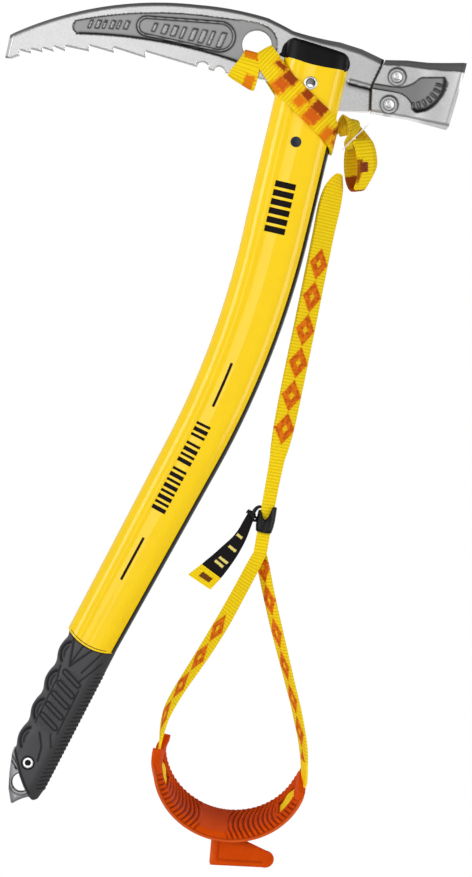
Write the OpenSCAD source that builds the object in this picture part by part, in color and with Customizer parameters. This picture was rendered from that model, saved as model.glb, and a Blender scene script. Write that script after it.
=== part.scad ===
// Ice axe with a hammer, a bent tube shaft and a hitched wrist leash.
// Millimetres. X runs from the pick to the hammer, Z is up and Y is the thickness.
// The axe hangs by its head: the origin is on the head's top edge, above the shaft.

/* [Head] */
// Thickness of the pick and head plate
plate_t = 5; // [4:0.5:7]
// Depth of the sunk panel on each side of the pick
panel_d = 0.7; // [0.3:0.1:1.2]
// Radius of the leash hole
leash_hole_r = 8.6; // [6:0.1:10]
// Width of the bevel along the top of the pick
bevel_w = 2; // [1:0.1:3]
// Thickness of the hammer where it meets the plate
hammer_t = 15; // [12:1:20]
// Thickness of the hammer at its striking face
face_t = 26; // [20:1:32]

/* [Shaft] */
// Width of the tube at the head
shaft_w = 38.4; // [34:0.2:42]
// Width of the tube where the grip starts
shaft_w_low = 31; // [28:0.5:36]
// Thickness of the tube
shaft_t = 22; // [18:0.5:26]
// Wall of the tube
wall = 1.6; // [1.2:0.1:2.5]
// Radius of the bend
bend_r = 510; // [400:10:700]
// Depth of the strip along the rear edge
strip_d = 2.2; // [1:0.1:3]

/* [Grip] */
// Spacing of the finger ridges
ridge_pitch = 18.3; // [14:0.1:22]
// Height of the finger ridges
ridge_h = 0.6; // [0:0.1:1.5]
// Thickness of the spike plate
spike_t = 4; // [3:0.5:6]

/* [Leash] */
// Width of the webbing
web_w = 14.5; // [12:0.5:20]
// Thickness of one layer of webbing
web_t = 1.5; // [1:0.1:2]
// Inner radius of the wrist cuff
cuff_r = 40.5; // [36:0.5:46]
// Width of the wrist cuff
cuff_w = 38; // [30:1:46]
// Tilt of the wrist cuff
cuff_tilt = 17; // [0:1:30]

/* [Hidden] */
e = 0.05;
gap = 0.1;

// The shaft's middle line: straight, a bend, then straight again
lean = 4;
lean_low = 19;
s_bend = 104;
s_low = s_bend + bend_r * (lean_low - lean) * PI / 180;
s_grip = 358;
s_tube_end = 426;
s_strip = 42;
top_mid = [8, -17];

function lean_at(s) = s <= s_bend ? lean : s < s_low ? lean + (s - s_bend) / bend_r * 180 / PI
    : lean_low;
function line(p, a, l) = p + l * [-sin(a), -cos(a)];
function bend_pt(a) = line(top_mid, lean, s_bend) + bend_r * [cos(a) - cos(lean), sin(lean) - sin(a)];
function mid_at(s) = s <= s_bend ? line(top_mid, lean, s) : s < s_low ? bend_pt(lean_at(s))
    : line(bend_pt(lean_low), lean_low, s - s_low);
function taper(s) = max(0, min(1, (s - s_bend) / (s_grip - s_bend)));
function half_w(s) = (shaft_w + (shaft_w_low - shaft_w) * taper(s)) / 2;
function half_t(s) = shaft_t / 2 - taper(s);
function at_shaft(s, p, y) = let (m = mid_at(s), a = lean_at(s)) [m[0] + p * cos(a), y,
    m[1] - p * sin(a)];

// The tube's section is two half circles joined by flats
arc_n = 11;
function ring_pt(k, f, b, cut) = let (right = k <= arc_n, t = right ? -90 + k * 180 / arc_n
    : 90 + (k - arc_n - 1) * 180 / arc_n) [min(cut, (right ? f : -f) + b * cos(t)), b * sin(t)];
function section(s, grow, cut) =
    [for (k = [0:2 * arc_n + 1]) let (q = ring_pt(k, half_w(s) - half_t(s), half_t(s) + grow, cut))
    at_shaft(s, q[0], q[1])];
bend_steps = [for (i = [0:9]) s_bend + (s_low - s_bend) * i / 9];

// Points on the circular arc from a through m to b
function circle_c(a, m, b) =
    let (d = 2 * (a[0] * (m[1] - b[1]) + m[0] * (b[1] - a[1]) + b[0] * (a[1] - m[1])))
    [((a * a) * (m[1] - b[1]) + (m * m) * (b[1] - a[1]) + (b * b) * (a[1] - m[1])) / d,
    ((a * a) * (b[0] - m[0]) + (m * m) * (a[0] - b[0]) + (b * b) * (m[0] - a[0])) / d];
function wrap(t) = t - 360 * floor(t / 360);
function turn(a, m, b) = let (c = circle_c(a, m, b), t0 = atan2(a[1] - c[1], a[0] - c[0]),
    t1 = atan2(b[1] - c[1], b[0] - c[0]), ccw =
    (m[0] - a[0]) * (b[1] - m[1]) - (m[1] - a[1]) * (b[0] - m[0]) > 0) ccw ? wrap(t1 - t0)
    : -wrap(t0 - t1);
function arc3(a, m, b, n) =
    let (c = circle_c(a, m, b), r = norm(a - c), t0 = atan2(a[1] - c[1], a[0] - c[0]),
    w = turn(a, m, b)) [for (i = [0:n]) c + r * [cos(t0 + w * i / n), sin(t0 + w * i / n)]];
function but_last(v) = [for (i = [0:len(v) - 2]) v[i]];
function around(c, r, t0, t1, n) =
    [for (i = [0:n]) c + r * [cos(t0 + (t1 - t0) * i / n), sin(t0 + (t1 - t0) * i / n)]];

// A closed skin over a row of rings. An end that isn't flat is closed in strips, where
// point i of the ring lies across from point n - 1 - i
function mean(v) = let (n = len(v)) [for (k = [0:2]) ([for (p = v) p[k]] * [for (p = v) 1]) / n];
function sum_cross(r, c, i) = i == len(r) ? [0, 0, 0]
    : cross(r[i] - c, r[(i + 1) % len(r)] - c) + sum_cross(r, c, i + 1);
function turned(rings) = sum_cross(rings[0], mean(rings[0]), 0) * (mean(rings[1]) - mean(rings[0])) < 0;
function back(f) = [for (i = [len(f) - 1:-1:0]) f[i]];
function side_faces(n, m) =
    [for (j = [0:m - 2]) for (i = [0:n - 1]) let (a = j * n, b = a + n, k = (i + 1) % n)
    each [[a + i, b + i, b + k], [a + i, b + k, a + k]]];
function end_faces(n, flat) = flat ? [[for (i = [0:n - 1]) i]]
    : [for (i = [0:n / 2 - 2]) each [[i, i + 1, n - 2 - i], [i, n - 2 - i, n - 1 - i]]];

module skin(rings, flat = true) {
    n = len(rings[0]);
    m = len(rings);
    ends = end_faces(n, flat);
    faces = concat(side_faces(n, m), ends, [for (f = ends) [for (i = back(f)) i + (m - 1) * n]]);
    polyhedron(points = [for (r = rings) each r], faces = turned(rings) ? [for (f = faces) back(f)]
        : faces);
}

// Draws an XZ outline as a plate from y0 to y0 + t
module side(y0, t) {
    translate([0, y0 + t, 0]) rotate([90, 0, 0]) linear_extrude(t) children();
}

// A cylinder along Y, centred on the shaft's plane
module across(p, r, t) {
    translate([p[0], t / 2, p[1]]) rotate([90, 0, 0]) cylinder(r = r, h = t, $fn = 48);
}

// Puts a child at a place on the grip: n across, t down from its top
module at_grip() {
    translate([mid_at(s_grip)[0], 0, mid_at(s_grip)[1]]) rotate([0, lean_low, 0]) mirror([0, 0, 1])
        children();
}

// ---- Head ----

hole_c = [-27.8, -10.4];
rivet_c = [6.7, -28.7];
pin_c = [3.8, -63.7];
tip = [-171.3, -41.6];
crown = concat(
    but_last(arc3([-170.6, -28], [-120, -3.2], [-65, 7], 12)),
    but_last(arc3([-65, 7], [-44, 7.6], [-24, 6], 5)),
    but_last(arc3([-24, 6], [-15, 3.3], [-8, 0.9], 3)),
    arc3([-8, 0.9], [6, -0.6], [20, -1.1], 4),
    [[33, -3], [45, -6.6]]
);
// Each tooth: where its steep face stands, the tooth's point and the notch above it
teeth = [
    [-163, -38.9, -35.9],
    [-156.7, -36.5, -34.1],
    [-150.2, -34.8, -32.4],
    [-143.8, -33.4, -30.5],
    [-137.4, -32.1, -29.2],
    [-123.6, -29.8, -26.6],
    [-109.2, -28.3, -25.4],
    [-90.6, -28.2, -24.7],
    [-60.1, -28.6, -25.6]
];
seam = [[45.4, -9], [41.7, -21.5], [40.9, -25.5], [42.6, -38.4]];
tang = [[24, -40.8], [19, -44], [16, -72], [12, -76], [-4.5, -76], [-8.5, -72], [-9.5, -38],
    [-12, -34.5]];
edge_under = [[-13, -31.5], [-20, -29.8], [-41.5, -29.6], [-50.7, -29.2]];

module head_outline() {
    polygon(concat(crown, seam, tang, edge_under, [for (i = [len(teeth) - 1:-1:0])
        each [[teeth[i][0] - 0.2, teeth[i][2]], [teeth[i][0], teeth[i][1]]]], [[-167.5, -41.2], tip]));
}

module tongue() {
    polygon([[40, -13], [66, -11.5], [66, -36.5], [40, -35.5]]);
}

// The sunk panel follows the pick's edges and ends in an arc round the leash hole
module panel() {
    polygon(concat(
        arc3([-134, -13.5], [-100, -3.6], [-55, 1.6], 10),
        [[-40, 2.2]],
        around(hole_c, 12.2, 78, -112, 12),
        arc3([-38.7, -22.6], [-88, -18.5], [-130.8, -21.6], 10),
        arc3([-133, -21], [-135.6, -17.9], [-135, -14.8], 3)
    ));
}

// The outline round two circles of different size
module capsule(c1, r1, c2, r2) {
    f = atan2(c2[1] - c1[1], c2[0] - c1[0]);
    b = acos((r1 - r2) / norm(c2 - c1));
    polygon(concat(around(c1, r1, f + b, f + 360 - b, 14), around(c2, r2, f - b, f + b, 14)));
}

module frame_ridge() {
    difference() {
        capsule([-92.9, -10.2], 5.9, [-49.8, -9.4], 9);
        capsule([-92.9, -10.2], 4.5, [-49.8, -9.4], 7.6);
    }
}

// Plain slanted bars stand where a maker would put a name
module bars(x0, z0, n, pitch, h, w, slope) {
    for (i = [0:n - 1])
        translate([x0 + i * pitch, z0 + i * slope])
            polygon([[0, 0], [w, 0], [w + h / 4, h], [h / 4, h]]);
}

// Cuts the bevel along one edge of the plate; way is +1 or -1 in Y
function bevel_ring(p, n, way) = let (y = way * plate_t / 2, d = 1.1)
    [[p[0] + n[0] * 0.8, way * (plate_t / 2 - d - 0.8 * d / bevel_w), p[1] + n[1] * 0.8],
    [p[0] + n[0] * 2, y + way * 1.2, p[1] + n[1] * 2], [p[0] - n[0] * (bevel_w + 0.8),
    y + way * (0.8 * d / bevel_w), p[1] - n[1] * (bevel_w + 0.8)]];
function edge_n(pts, i) = let (a = pts[max(0, i - 1)], b = pts[min(len(pts) - 1, i + 1)],
    d = (b - a) / norm(b - a)) [-d[1], d[0]];

module bevel(pts, way) {
    skin([for (i = [0:len(pts) - 1]) bevel_ring(pts[i], edge_n(pts, i), way)]);
}

front_edge = [tip + [-0.4, -3], [-170.6, -28] + [0.35, 3]];
bevel_path = concat(
    [[-173, -30.4]],
    but_last(arc3([-170, -27.6], [-120, -3.2], [-64, 7.1], 9)),
    but_last(arc3([-64, 7.1], [-43, 7.6], [-25, 6.2], 4)),
    [[-16.4, 3.7]],
    arc3([-9, 1.2], [5.5, -0.6], [21, -1.2], 3),
    [[34, -3.2], [48, -7.4]]
);

module head_pick() {
    color("silver") difference() {
        union() {
            side(-plate_t / 2, plate_t) head_outline();
            side(-plate_t / 2, plate_t) tongue();
        }
        for (way = [-1, 1]) {
            bevel(bevel_path, way);
            bevel(front_edge, way);
        }
        for (y = [-plate_t / 2 - 1, plate_t / 2 - panel_d])
            side(y, 1 + panel_d) difference() {
                panel();
                frame_ridge();
                bars(-88, -12.5, 8, 5.6, 5, 1.6, -0.35);
                bars(-124, -16.5, 6, 3.6, 4.4, 1, 0.75);
            }
        for (y = [-plate_t / 2 - 1, plate_t / 2 - 0.6])
            side(y, 1.6) capsule([29.8, -23.1], 2, [44, -24.4], 1.9);
        across(hole_c, leash_hole_r, plate_t + 2);
        across(rivet_c, 3.05, plate_t + 2);
        across(pin_c, 3.15, plate_t + 2);
        for (c = [[-56.5, -28.6], [-46.6, -29.6]])
            across(c, 3.1, plate_t + 2);
        for (c = bolt_c)
            across(c, 2.1, plate_t + 2);
    }
}

// ---- Hammer ----

bolt_c = [[55.6, -16.4], [53.6, -33]];
sink_r = 5.4;
head_r = 3.05;

module hammer_outline() {
    polygon([[46, -8.6], [60, -5.7], [72, -5], [94.3, -1.9], [89.7, -40.2], [79.5, -39.4], [66, -38.5],
        [43.3, -38.4], [41.7, -25.5], [42.5, -21.5]]);
}

module fan() {
    polygon(concat(
        [[40, -22.2], [54, -22.2]],
        arc3([58.9, -21.7], [64.8, -18.8], [68.3, -15.2], 4),
        [[70, -14.2], [82.9, -12.4]],
        arc3([85.3, -15.4], [82.6, -25.9], [75.1, -33.7], 6),
        [[70.1, -35.4], [68.1, -34.8]],
        arc3([66.3, -31], [62.7, -27.4], [58, -25.8], 4),
        [[54, -25.6], [40, -25.6]]
    ));
}

module hammer_head() {
    h = hammer_t / 2;
    fan_d = 0.8;
    color("silver") difference() {
        intersection() {
            side(-face_t / 2, face_t) hammer_outline();
            translate([0, 0, -50]) linear_extrude(60)
                polygon([[38, -h], [69, -h], [84, -h - 2.5], [92, -face_t / 2], [99, -face_t / 2],
                [99, face_t / 2], [92, face_t / 2], [84, h + 2.5], [69, h], [38, h]]);
        }
        side(-plate_t / 2 - gap, plate_t + 2 * gap) polygon([[38, -12.8], [66.3, -11.2], [66.3, -36.8],
            [38, -35.8]]);
        for (y = [-face_t / 2 - 1, h - fan_d])
            side(y, face_t / 2 - h + 1 + fan_d) intersection() {
                fan();
                translate([30, -50]) square([40, 60]);
            }
        for (way = [-1, 1])
            fan_deep(way);
        for (c = bolt_c) {
            across(c, 2.1, face_t);
            translate([c[0], -h - 1 + 3.4, c[1]]) rotate([90, 0, 0]) cylinder(r = sink_r, h = 3.4,
                $fn = 48);
            translate([c[0], h + 1, c[1]]) rotate([90, 0, 0]) cylinder(r = 3.3, h = 3.6, $fn = 48);
        }
    }
}

// The fan's wide end is cut square to the flaring side
module fan_deep(way) {
    t = atan2(2.5, 15);
    translate([69, way * (hammer_t / 2 - 0.8), 0]) rotate([0, 0, way * t])
        translate([-69, way > 0 ? 0 : -6, 0]) side(0, 6) intersection() {
        fan();
        translate([68.7, -50]) square([40, 60]);
    }
}

module hammer_bolts() {
    h = hammer_t / 2;
    color("lightgray") for (c = bolt_c)
        difference() {
            union() {
                translate([c[0], -h + 2.4, c[1]]) rotate([90, 0, 0]) cylinder(r = head_r, h = 2.2,
                    $fn = 48);
                translate([c[0], h - 0.4, c[1]]) rotate([90, 0, 0]) cylinder(r = 2, h = hammer_t - 2.6,
                    $fn = 48);
            }
            translate([c[0], -h + 1.4, c[1]]) rotate([90, 0, 0]) cylinder(r = 1.6, h = 3, $fn = 6);
        }
}

module hammer_nuts() {
    h = hammer_t / 2;
    color("lightgray") for (c = bolt_c)
        translate([c[0], h - 0.3, c[1]]) rotate([90, 0, 0]) difference() {
            cylinder(r = 3.2, h = 2.2, $fn = 6);
            translate([0, 0, -1]) cylinder(r = 2.02, h = 5, $fn = 48);
        }
}

// ---- Shaft ----

rim = arc3([-14.5, -13.8], [7.5, -18], [29.5, -17.3], 8);

// Everything above the curved top edge of the tube
module above_rim(h) {
    side(-20, 40) polygon(concat([for (p = rim) p + [0, h]], [[40, -17 + h], [40, 30], [-30, 30],
        [-30, -13 + h]]));
}

grip_edge_r = 32;
grip_edge_t = 7.4 - grip_edge_r;

// The yellow part ends in a rounded line under the grip's top edge
module above_grip(grow) {
    side(-20, 40) translate([-150, -330]) square([300, 400]);
    at_grip() translate([0, 20, grip_edge_t]) rotate([90, 0, 0]) cylinder(r = grip_edge_r + grow,
        h = 40, $fn = 96);
}

function neck_ring(t, grow) =
    [for (k = [0:2 * arc_n + 1]) let (q = ring_pt(k, 4.2 - t / 60, 8.2 + grow, 99))
    at_shaft(s_grip + t, q[0] + 0.9 + t / 80, q[1])];

module neck(t0, t1, grow) {
    skin([neck_ring(t0, grow), neck_ring(t1, grow)]);
}

module shaft_tube() {
    cut_in = wall + strip_d;
    steps = [for (i = [1:9]) bend_steps[i]];
    color("gold") difference() {
        union() {
            intersection() {
                skin(concat([section(-8, 0, 99), section(s_strip - 1, 0, 99)],
                    [for (s = concat([s_strip, s_bend], steps, [s_grip + 12]))
                    section(s, 0, half_w(s) - strip_d)]));
                above_grip(0);
            }
            neck(-6, s_tube_end - s_grip, 0);
        }
        skin(concat([section(-12, -wall, half_w(0) - cut_in),
            section(s_bend, -wall, half_w(0) - cut_in)], [for (s = concat(steps, [s_grip - 14]))
            section(s, -wall, half_w(s) - cut_in)]));
        neck(-16, s_tube_end - s_grip + 5, -wall);
        above_rim(0);
        side(-plate_t / 2 - gap, plate_t + 2 * gap)
            polygon([[-40, 10], [60, 10], [60, -41.4], [24, -41.6], [18, -44.6], [-9, -44.6],
            [-40, -32.2]]);
        across(rivet_c, 3.05, 40);
        across(pin_c, 3.15, 40);
    }
}

module rear_strip() {
    function strip_ring(s) =
        let (f = half_w(s) - half_t(s), b = half_t(s), t = acos((b - strip_d) / b))
        [for (i = [0:6]) at_shaft(s, f + b * cos(-t + i * t / 3), b * sin(-t + i * t / 3))];
    color("black") intersection() {
        skin([for (s = concat([s_strip], bend_steps, [s_grip + 12])) strip_ring(s)]);
        above_grip(0);
    }
}

// Each cheek fills one side of the tube's mouth beside the plate
module cap_cheek(way) {
    y0 = plate_t / 2 + gap;
    color("black") mirror([0, way > 0 ? 0 : 1, 0]) difference() {
        union() {
            intersection() {
                skin([section(-14, 0, 99), section(3, 0, 99)]);
                side(y0, 12) polygon(concat(rim, arc3([27.6, -14], [26.6, -10.2], [23, -7.6], 4),
                    arc3([-5, -3.4], [-10.4, -6.4], [-12.8, -13.2], 4)));
            }
            side(y0, 8.6 - y0) polygon([[-2, -12], [17, -12], [13.5, -74], [-5.5, -74]]);
        }
        across(rivet_c, 3.05, 40);
        across(pin_c, 3.15, 40);
    }
}

module head_rivet() {
    t = shaft_t + 1.2;
    color("silver") difference() {
        union() {
            across(rivet_c, 3, t - 0.2);
            for (y = [-t / 2 + 0.6, t / 2 - 0.05])
                translate([rivet_c[0], y, rivet_c[1]]) rotate([90, 0, 0]) cylinder(r = 3.8, h = 0.55,
                    $fn = 48);
        }
        across(rivet_c, 2.5, t + 2);
    }
}

module head_pin() {
    color("dimgray") across(pin_c, 3.1, shaft_t + 0.4);
}

// ---- Grip and spike ----

grip_rivet_c = [1.4, 82.6];
plug_t = 9.6;

function ridge(t) = ridge_h * cos(360 * (t - 16.2) / ridge_pitch) * min(1, max(0, (90 - t) / 10));
function grip_left(t) = 14.3 - 0.055 * t + ridge(t);
function grip_right(t) = 15.6 + 0.016 * t;
function grip_b(t) = 10.4 - (t > 88 ? (t - 88) * (t - 88) / 60 : 0);
function grip_ring(t) =
    [for (k = [0:2 * arc_n + 1]) let (b = grip_b(t), right = k <= arc_n, q = ring_pt(k, 0, b, 99),
    f = right ? grip_right(t) - b : b - grip_left(t)) at_shaft(s_grip + t, q[0] + f, q[1])];

module grip_outline() {
    polygon(concat([[-25, -8], [25, -8], [25, 88]], arc3([17, 93], [16.2, 99], [13.6, 101], 4),
        arc3([10.6, 99.8], [0.5, 91.4], [-8.6, 82], 3), [[-25, 70]]));
}

module spike_outline() {
    polygon(concat([[-10.2, 80], [-9.7, 83], [-5.6, 94], [-1.6, 102.5], [3.6, 109.2], [4.6, 109]],
        arc3([7.5, 104.4], [10.4, 101.6], [13, 99.8], 3), [[13, 90], [9, 76], [-5, 76], [-8.4, 77.4]]));
}

// Draws a grip outline, n across and t down, as a plate centred on the shaft's plane
module grip_plate(t) {
    at_grip() translate([0, t / 2, 0]) rotate([90, 0, 0]) linear_extrude(t) children();
}

module grip_hole(c, r, t) {
    grip_plate(t) translate(c) circle(r = r, $fn = 48);
}

module plug_outline(d) {
    translate([-5.6 - d, 50]) square([14.4 + 2 * d, 44 + d]);
}

module grip_sleeve() {
    color("dimgray") difference() {
        intersection() {
            skin([for (t = [0:3:105]) grip_ring(t)]);
            grip_plate(40) grip_outline();
        }
        above_grip(gap);
        neck(-6, s_tube_end - s_grip + 0.2, e);
        grip_plate(plug_t + 2 * gap) plug_outline(gap);
        grip_plate(spike_t + gap) spike_outline();
        grip_hole(grip_rivet_c, 2.15, 60);
        for (y = [-10.4, 9.2])
            at_grip() translate([grip_rivet_c[0], y + 1.2, grip_rivet_c[1]]) rotate([90, 0, 0])
                cylinder(r = 3.9, h = 1.2, $fn = 48);
    }
}

module spike_plug() {
    color("black") difference() {
        grip_plate(plug_t) intersection() {
            plug_outline(0);
            offset(delta = -0.4) grip_outline();
        }
        grip_plate(spike_t + gap) spike_outline();
        grip_hole(grip_rivet_c, 2.15, 60);
    }
}

eye_c = [3.2, 95.6];

module spike() {
    color("silver") difference() {
        grip_plate(spike_t) spike_outline();
        grip_hole(eye_c, 5.3, 20);
        grip_hole(grip_rivet_c, 2.15, 60);
    }
}

module grip_rivet() {
    color("silver") difference() {
        union() {
            grip_hole(grip_rivet_c, 2.1, 19);
            for (y = [-9.2, 9.8])
                at_grip() translate([grip_rivet_c[0], y, grip_rivet_c[1]]) rotate([90, 0, 0])
                    cylinder(r = 3.2, h = 0.6, $fn = 48);
        }
        grip_hole(grip_rivet_c, 1.4, 60);
    }
}

// ---- Leash ----

// A place on the tube's skin: c round from the rear edge to the front, s down, d out
function on_skin(c, s, d) = let (b = half_t(s), f = half_w(s) - b, q = b * PI / 2, k = abs(c),
    way = c < 0 ? 1 : -1) k <= q ? at_shaft(s, f + (b + d) * cos(k / b * 180 / PI),
    way * (b + d) * sin(k / b * 180 / PI)) : k <= q + 2 * f ? at_shaft(s, f - (k - q), way * (b + d))
    : let (t = 90 + (k - q - 2 * f) / b * 180 / PI) at_shaft(s, -f + (b + d) * cos(t),
    way * (b + d) * sin(t));

band_slope = 31.2;
band_s = 40.5;
band_gap = 0.5;
function band_ring(c) = let (s = band_s - c * tan(band_slope), w = web_w / 2)
    concat([for (v = [-1:0.5:1]) on_skin(c + v * w * sin(band_slope), s + v * w * cos(band_slope),
    band_gap + web_t)], [for (v = [1:-0.5:-1]) on_skin(c + v * w * sin(band_slope),
    s + v * w * cos(band_slope), band_gap)]);
// The band's ring inside the leash hole, narrowed to fit it
function hole_ring(y, o) = let (c = [-24.6 + o * 0.62, y, -13.8 - o * 0.78])
    concat([for (v = [-1:0.5:1]) c + v * 5.4 * [-0.78, 0, -0.62] - 0.7 * [0.62, 0, -0.78]],
    [for (v = [1:-0.5:-1]) c + v * 5.4 * [-0.78, 0, -0.62] + 0.7 * [0.62, 0, -0.78]]);
function mix(a, b, k) = [for (i = [0:len(a) - 1]) a[i] + (b[i] - a[i]) * k];

module hitch_band() {
    off = band_ring(40);
    skin(concat([hole_ring(0, 0), hole_ring(-3.6, 0)],
        [for (k = [0.4, 0.75]) mix(hole_ring(-4.6, 0.6), off, k)], [for (c = [40:-4:0]) band_ring(c)],
        [band_ring(-3)]), flat = false);
}

// One turn round the bridge of steel under the leash hole
module hitch_turn() {
    hh = 7.4;
    tt = plate_t / 2 + 0.3 + web_t;
    translate([-31, 0, -25.2]) rotate([0, 14.7, 0]) translate([-5.8, 0, 0]) rotate([90, 0, 90])
        linear_extrude(9.9) difference() {
        union() {
            square([2 * tt, 2 * hh], center = true);
            for (z = [-hh, hh])
                translate([0, z]) circle(r = tt, $fn = 48);
        }
        square([2 * (tt - web_t), 2 * hh], center = true);
        for (z = [-hh, hh])
            translate([0, z]) circle(r = tt - web_t, $fn = 48);
    }
}

// A flat strap ring: centre p, half width vector w, thickness direction o
function strap_ring(p, w, o) = [p - w - o, p + w - o, p + w + o, p - w + o];

// The bight behind the shaft goes through the top of the eye and back
rear_loop = [
    [[26.6, 2.5, -49.5], [0, 4, -4]],
    [[30.2, 1.6, -44.4], [1.6, 4.4, -1.6]],
    [[34.2, -0.5, -45.2], [2.6, 4.2, 1.4]],
    [[36.2, -3, -50.2], [2.6, 3, 2.4]],
    [[34.4, -3.6, -56.6], [2.4, 1.4, 2]],
    [[35.6, -2.4, -61.6], [1.8, -0.9, 1]],
    [[41.65, 2.87, -60.3], [2, -2.2, 0]],
    [[48.2, 8.6, -57.8], [2, -2.2, 0.4]],
    [[47, 12, -51.5], [2.4, -1.6, 1.6]],
    [[37, 10.5, -47], [0, -1.4, 3.6]],
    [[27.4, 6, -50.5], [-1.6, 0, 3.6]]
];

function along(path, i) = let (a = path[max(0, i - 1)][0], b = path[min(len(path) - 1, i + 1)][0])
    (b - a) / norm(b - a);
function unit(v) = v / norm(v);

module strap_run(path, t) {
    skin([for (i = [0:len(path) - 1]) strap_ring(path[i][0], path[i][1],
        unit(cross(along(path, i), path[i][1])) * t / 2)]);
}

module leash_hitch() {
    color("gold") {
        hitch_band();
        mirror([0, 1, 0]) hitch_band();
        hitch_turn();
        strap_run(rear_loop, web_t);
    }
}

// The eye is a long loop standing across the shaft's plane
eye_mid = [43.4, 4.4, -69];
eye_w = [0.724, 0.634, 0.262];
eye_up = [-0.197, -0.172, 0.965];
eye_in = [0.657, -0.751, 0];
function eye_ring(t, d) = let (o = unit(cos(t) / 14.5 * eye_up + sin(t) / 6 * eye_in),
    c = eye_mid + 14.2 * cos(t) * eye_up + 5.8 * sin(t) * eye_in) strap_ring(c, eye_w * web_w / 2,
    o * d);

module leash_eye() {
    n = 28;
    pts = [for (i = [0:n - 1]) each eye_ring(i * 360 / n, web_t * 0.7)];
    color("gold") polyhedron(points = pts, faces = [for (i = [0:n - 1]) for (k = [0:3])
        let (a = i * 4, b = ((i + 1) % n) * 4, l = (k + 1) % 4) each [[a + k, b + k, b + l],
        [a + k, b + l, a + l]]]);
}

module eye_stitches() {
    color("orange") for (i = [-1, 1])
        skin([for (t = [58 + i * 9, 62 + i * 9])
            let (o = unit(cos(t) / 14.5 * eye_up + sin(t) / 6 * eye_in),
            c = eye_mid + 14.2 * cos(t) * eye_up + 5.8 * sin(t) * eye_in)
            strap_ring(c + o * (web_t * 0.7 + 0.25), eye_w * 5, o * 0.25)]);
}

module leash_label() {
    color("white") strap_run([[[31.5, -7, -63], [1, 0, 1.2]], [[37.6, -7.6, -54.4], [1.2, 0, 1.2]],
        [[43.6, -7.6, -46], [1.4, 0, 1.1]]], 0.6);
}

// The hanging strap: x, z, half width, half thickness and how far it is turned face-on
hang = [
    [32, -77, 5, 1.4, 10],
    [30.9, -81, 6.8, 1.5, 26],
    [29.9, -87, 7.2, 1.5, 44],
    [29.1, -97, 7.2, 1.5, 56],
    [28.4, -112, 7.1, 1.5, 66],
    [27.8, -131, 6.9, 1.5, 76],
    [26.7, -165, 6.7, 1.5, 88],
    [25.6, -200, 6.6, 1.5, 90],
    [24.8, -226, 6.1, 1.7, 90],
    [24.3, -240, 5.1, 1.8, 90],
    [24, -249, 4.2, 2, 90],
    [22.4, -302.6, 4.2, 2, 90]
];
hang_end = hang[len(hang) - 1];
function hang_ring(h) = let (w = h[2] * [sin(h[4]), cos(h[4]), 0], o = h[3] * [cos(h[4]), -sin(h[4]),
    0]) strap_ring([h[0], 0, h[1]], w, o);

module leash_strap() {
    color("gold") skin([for (h = hang) hang_ring(h)]);
}

// ---- Slider ----

slider_z = -283.2;
slider_x = 22.98;
slider_lean = 1.71;

module at_slider() {
    translate([slider_x, 0, slider_z]) rotate([0, slider_lean, 0]) children();
}

module slot2d(w, t) {
    translate([-(w - t), -t]) square([2 * (w - t), 2 * t]);
    for (x = [-(w - t), w - t])
        translate([x, 0]) circle(r = t, $fn = 48);
}

// The tab's barrel turns on a headed pin that stands out of the slider's side. At the tab,
// X runs back along the pin and the tab hangs down Z
tab_lean = 27;
pin_r = 0.8;
pin_root = [-6.9, 1];
pin_l = 6;
barrel_r = 1.7;
barrel_l = 3.4;
barrel_at = 3.05;

module at_tab() {
    at_slider() translate([pin_root[0], 0, pin_root[1]]) rotate([0, tab_lean, 0])
        translate([-barrel_at, 0, 0]) children();
}

module pin_part(x, r, l) {
    translate([x, 0, 0]) rotate([0, 90, 0]) cylinder(r = r, h = l, $fn = 48);
}

module slider_body() {
    color("black") difference() {
        union() {
            at_slider() translate([0, 0, -7]) linear_extrude(14) slot2d(6.9, 4.2);
            at_tab() pin_part(barrel_at - pin_l, pin_r, pin_l + 0.6);
            at_tab() pin_part(barrel_at - pin_l, 1.5, 0.9);
        }
        at_slider() translate([0, 0, -10]) linear_extrude(20) slot2d(5.6, 2.7);
        at_slider() translate([1.2, -2.7, 13.4]) rotate([90, 0, 0]) cylinder(r = 8.6, h = 6, $fn = 48);
    }
}

module slider_tab() {
    color("black") at_tab() difference() {
        union() {
            pin_part(-barrel_l / 2, barrel_r, barrel_l);
            side(-0.9, 1.8) polygon([[-1.7, -0.2], [1.7, -0.2], [3.6, -12], [6.3, -24], [6.4, -41],
                [-6.4, -41], [-6.3, -24], [-3.6, -12]]);
        }
        pin_part(-barrel_l / 2 - 1, pin_r + 0.32, barrel_l + 2);
    }
}

module tab_end() {
    color("gold") at_tab() side(-1.3, 2.6) polygon([[-6.7, -41], [6.7, -41], [6.9, -50], [-6.9, -50]]);
}

// ---- Wrist loop and cuff ----

cuff_mid = [26, -5, -422.7];
cuff_from = 180;
cuff_to = 352;
slot_r = cuff_r + 1.4;
slot_t = 1.9;
cuff_out = cuff_r + 4.5;
function cuff_pt(r, t, w) = cuff_mid + [r * cos(t), w * cos(cuff_tilt) - r * sin(t) * sin(cuff_tilt),
    w * sin(cuff_tilt) + r * sin(t) * cos(cuff_tilt)];

// A cuff-shaped solid: u runs along the leash's plane, w across the cuff
module at_cuff() {
    translate(cuff_mid) rotate([cuff_tilt, 0, 0]) children();
}

function cuff_in_loop(t) = let (r = slot_r + slot_t / 2)
    [cuff_pt(r, t, 0), cuff_pt(r, t, web_w / 2) - cuff_pt(r, t, 0)];
strand_l = cuff_in_loop(cuff_from)[0];
strand_r = cuff_in_loop(cuff_to)[0];
strand_w = [0, cos(cuff_tilt), sin(cuff_tilt)] * web_w / 2;

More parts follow.
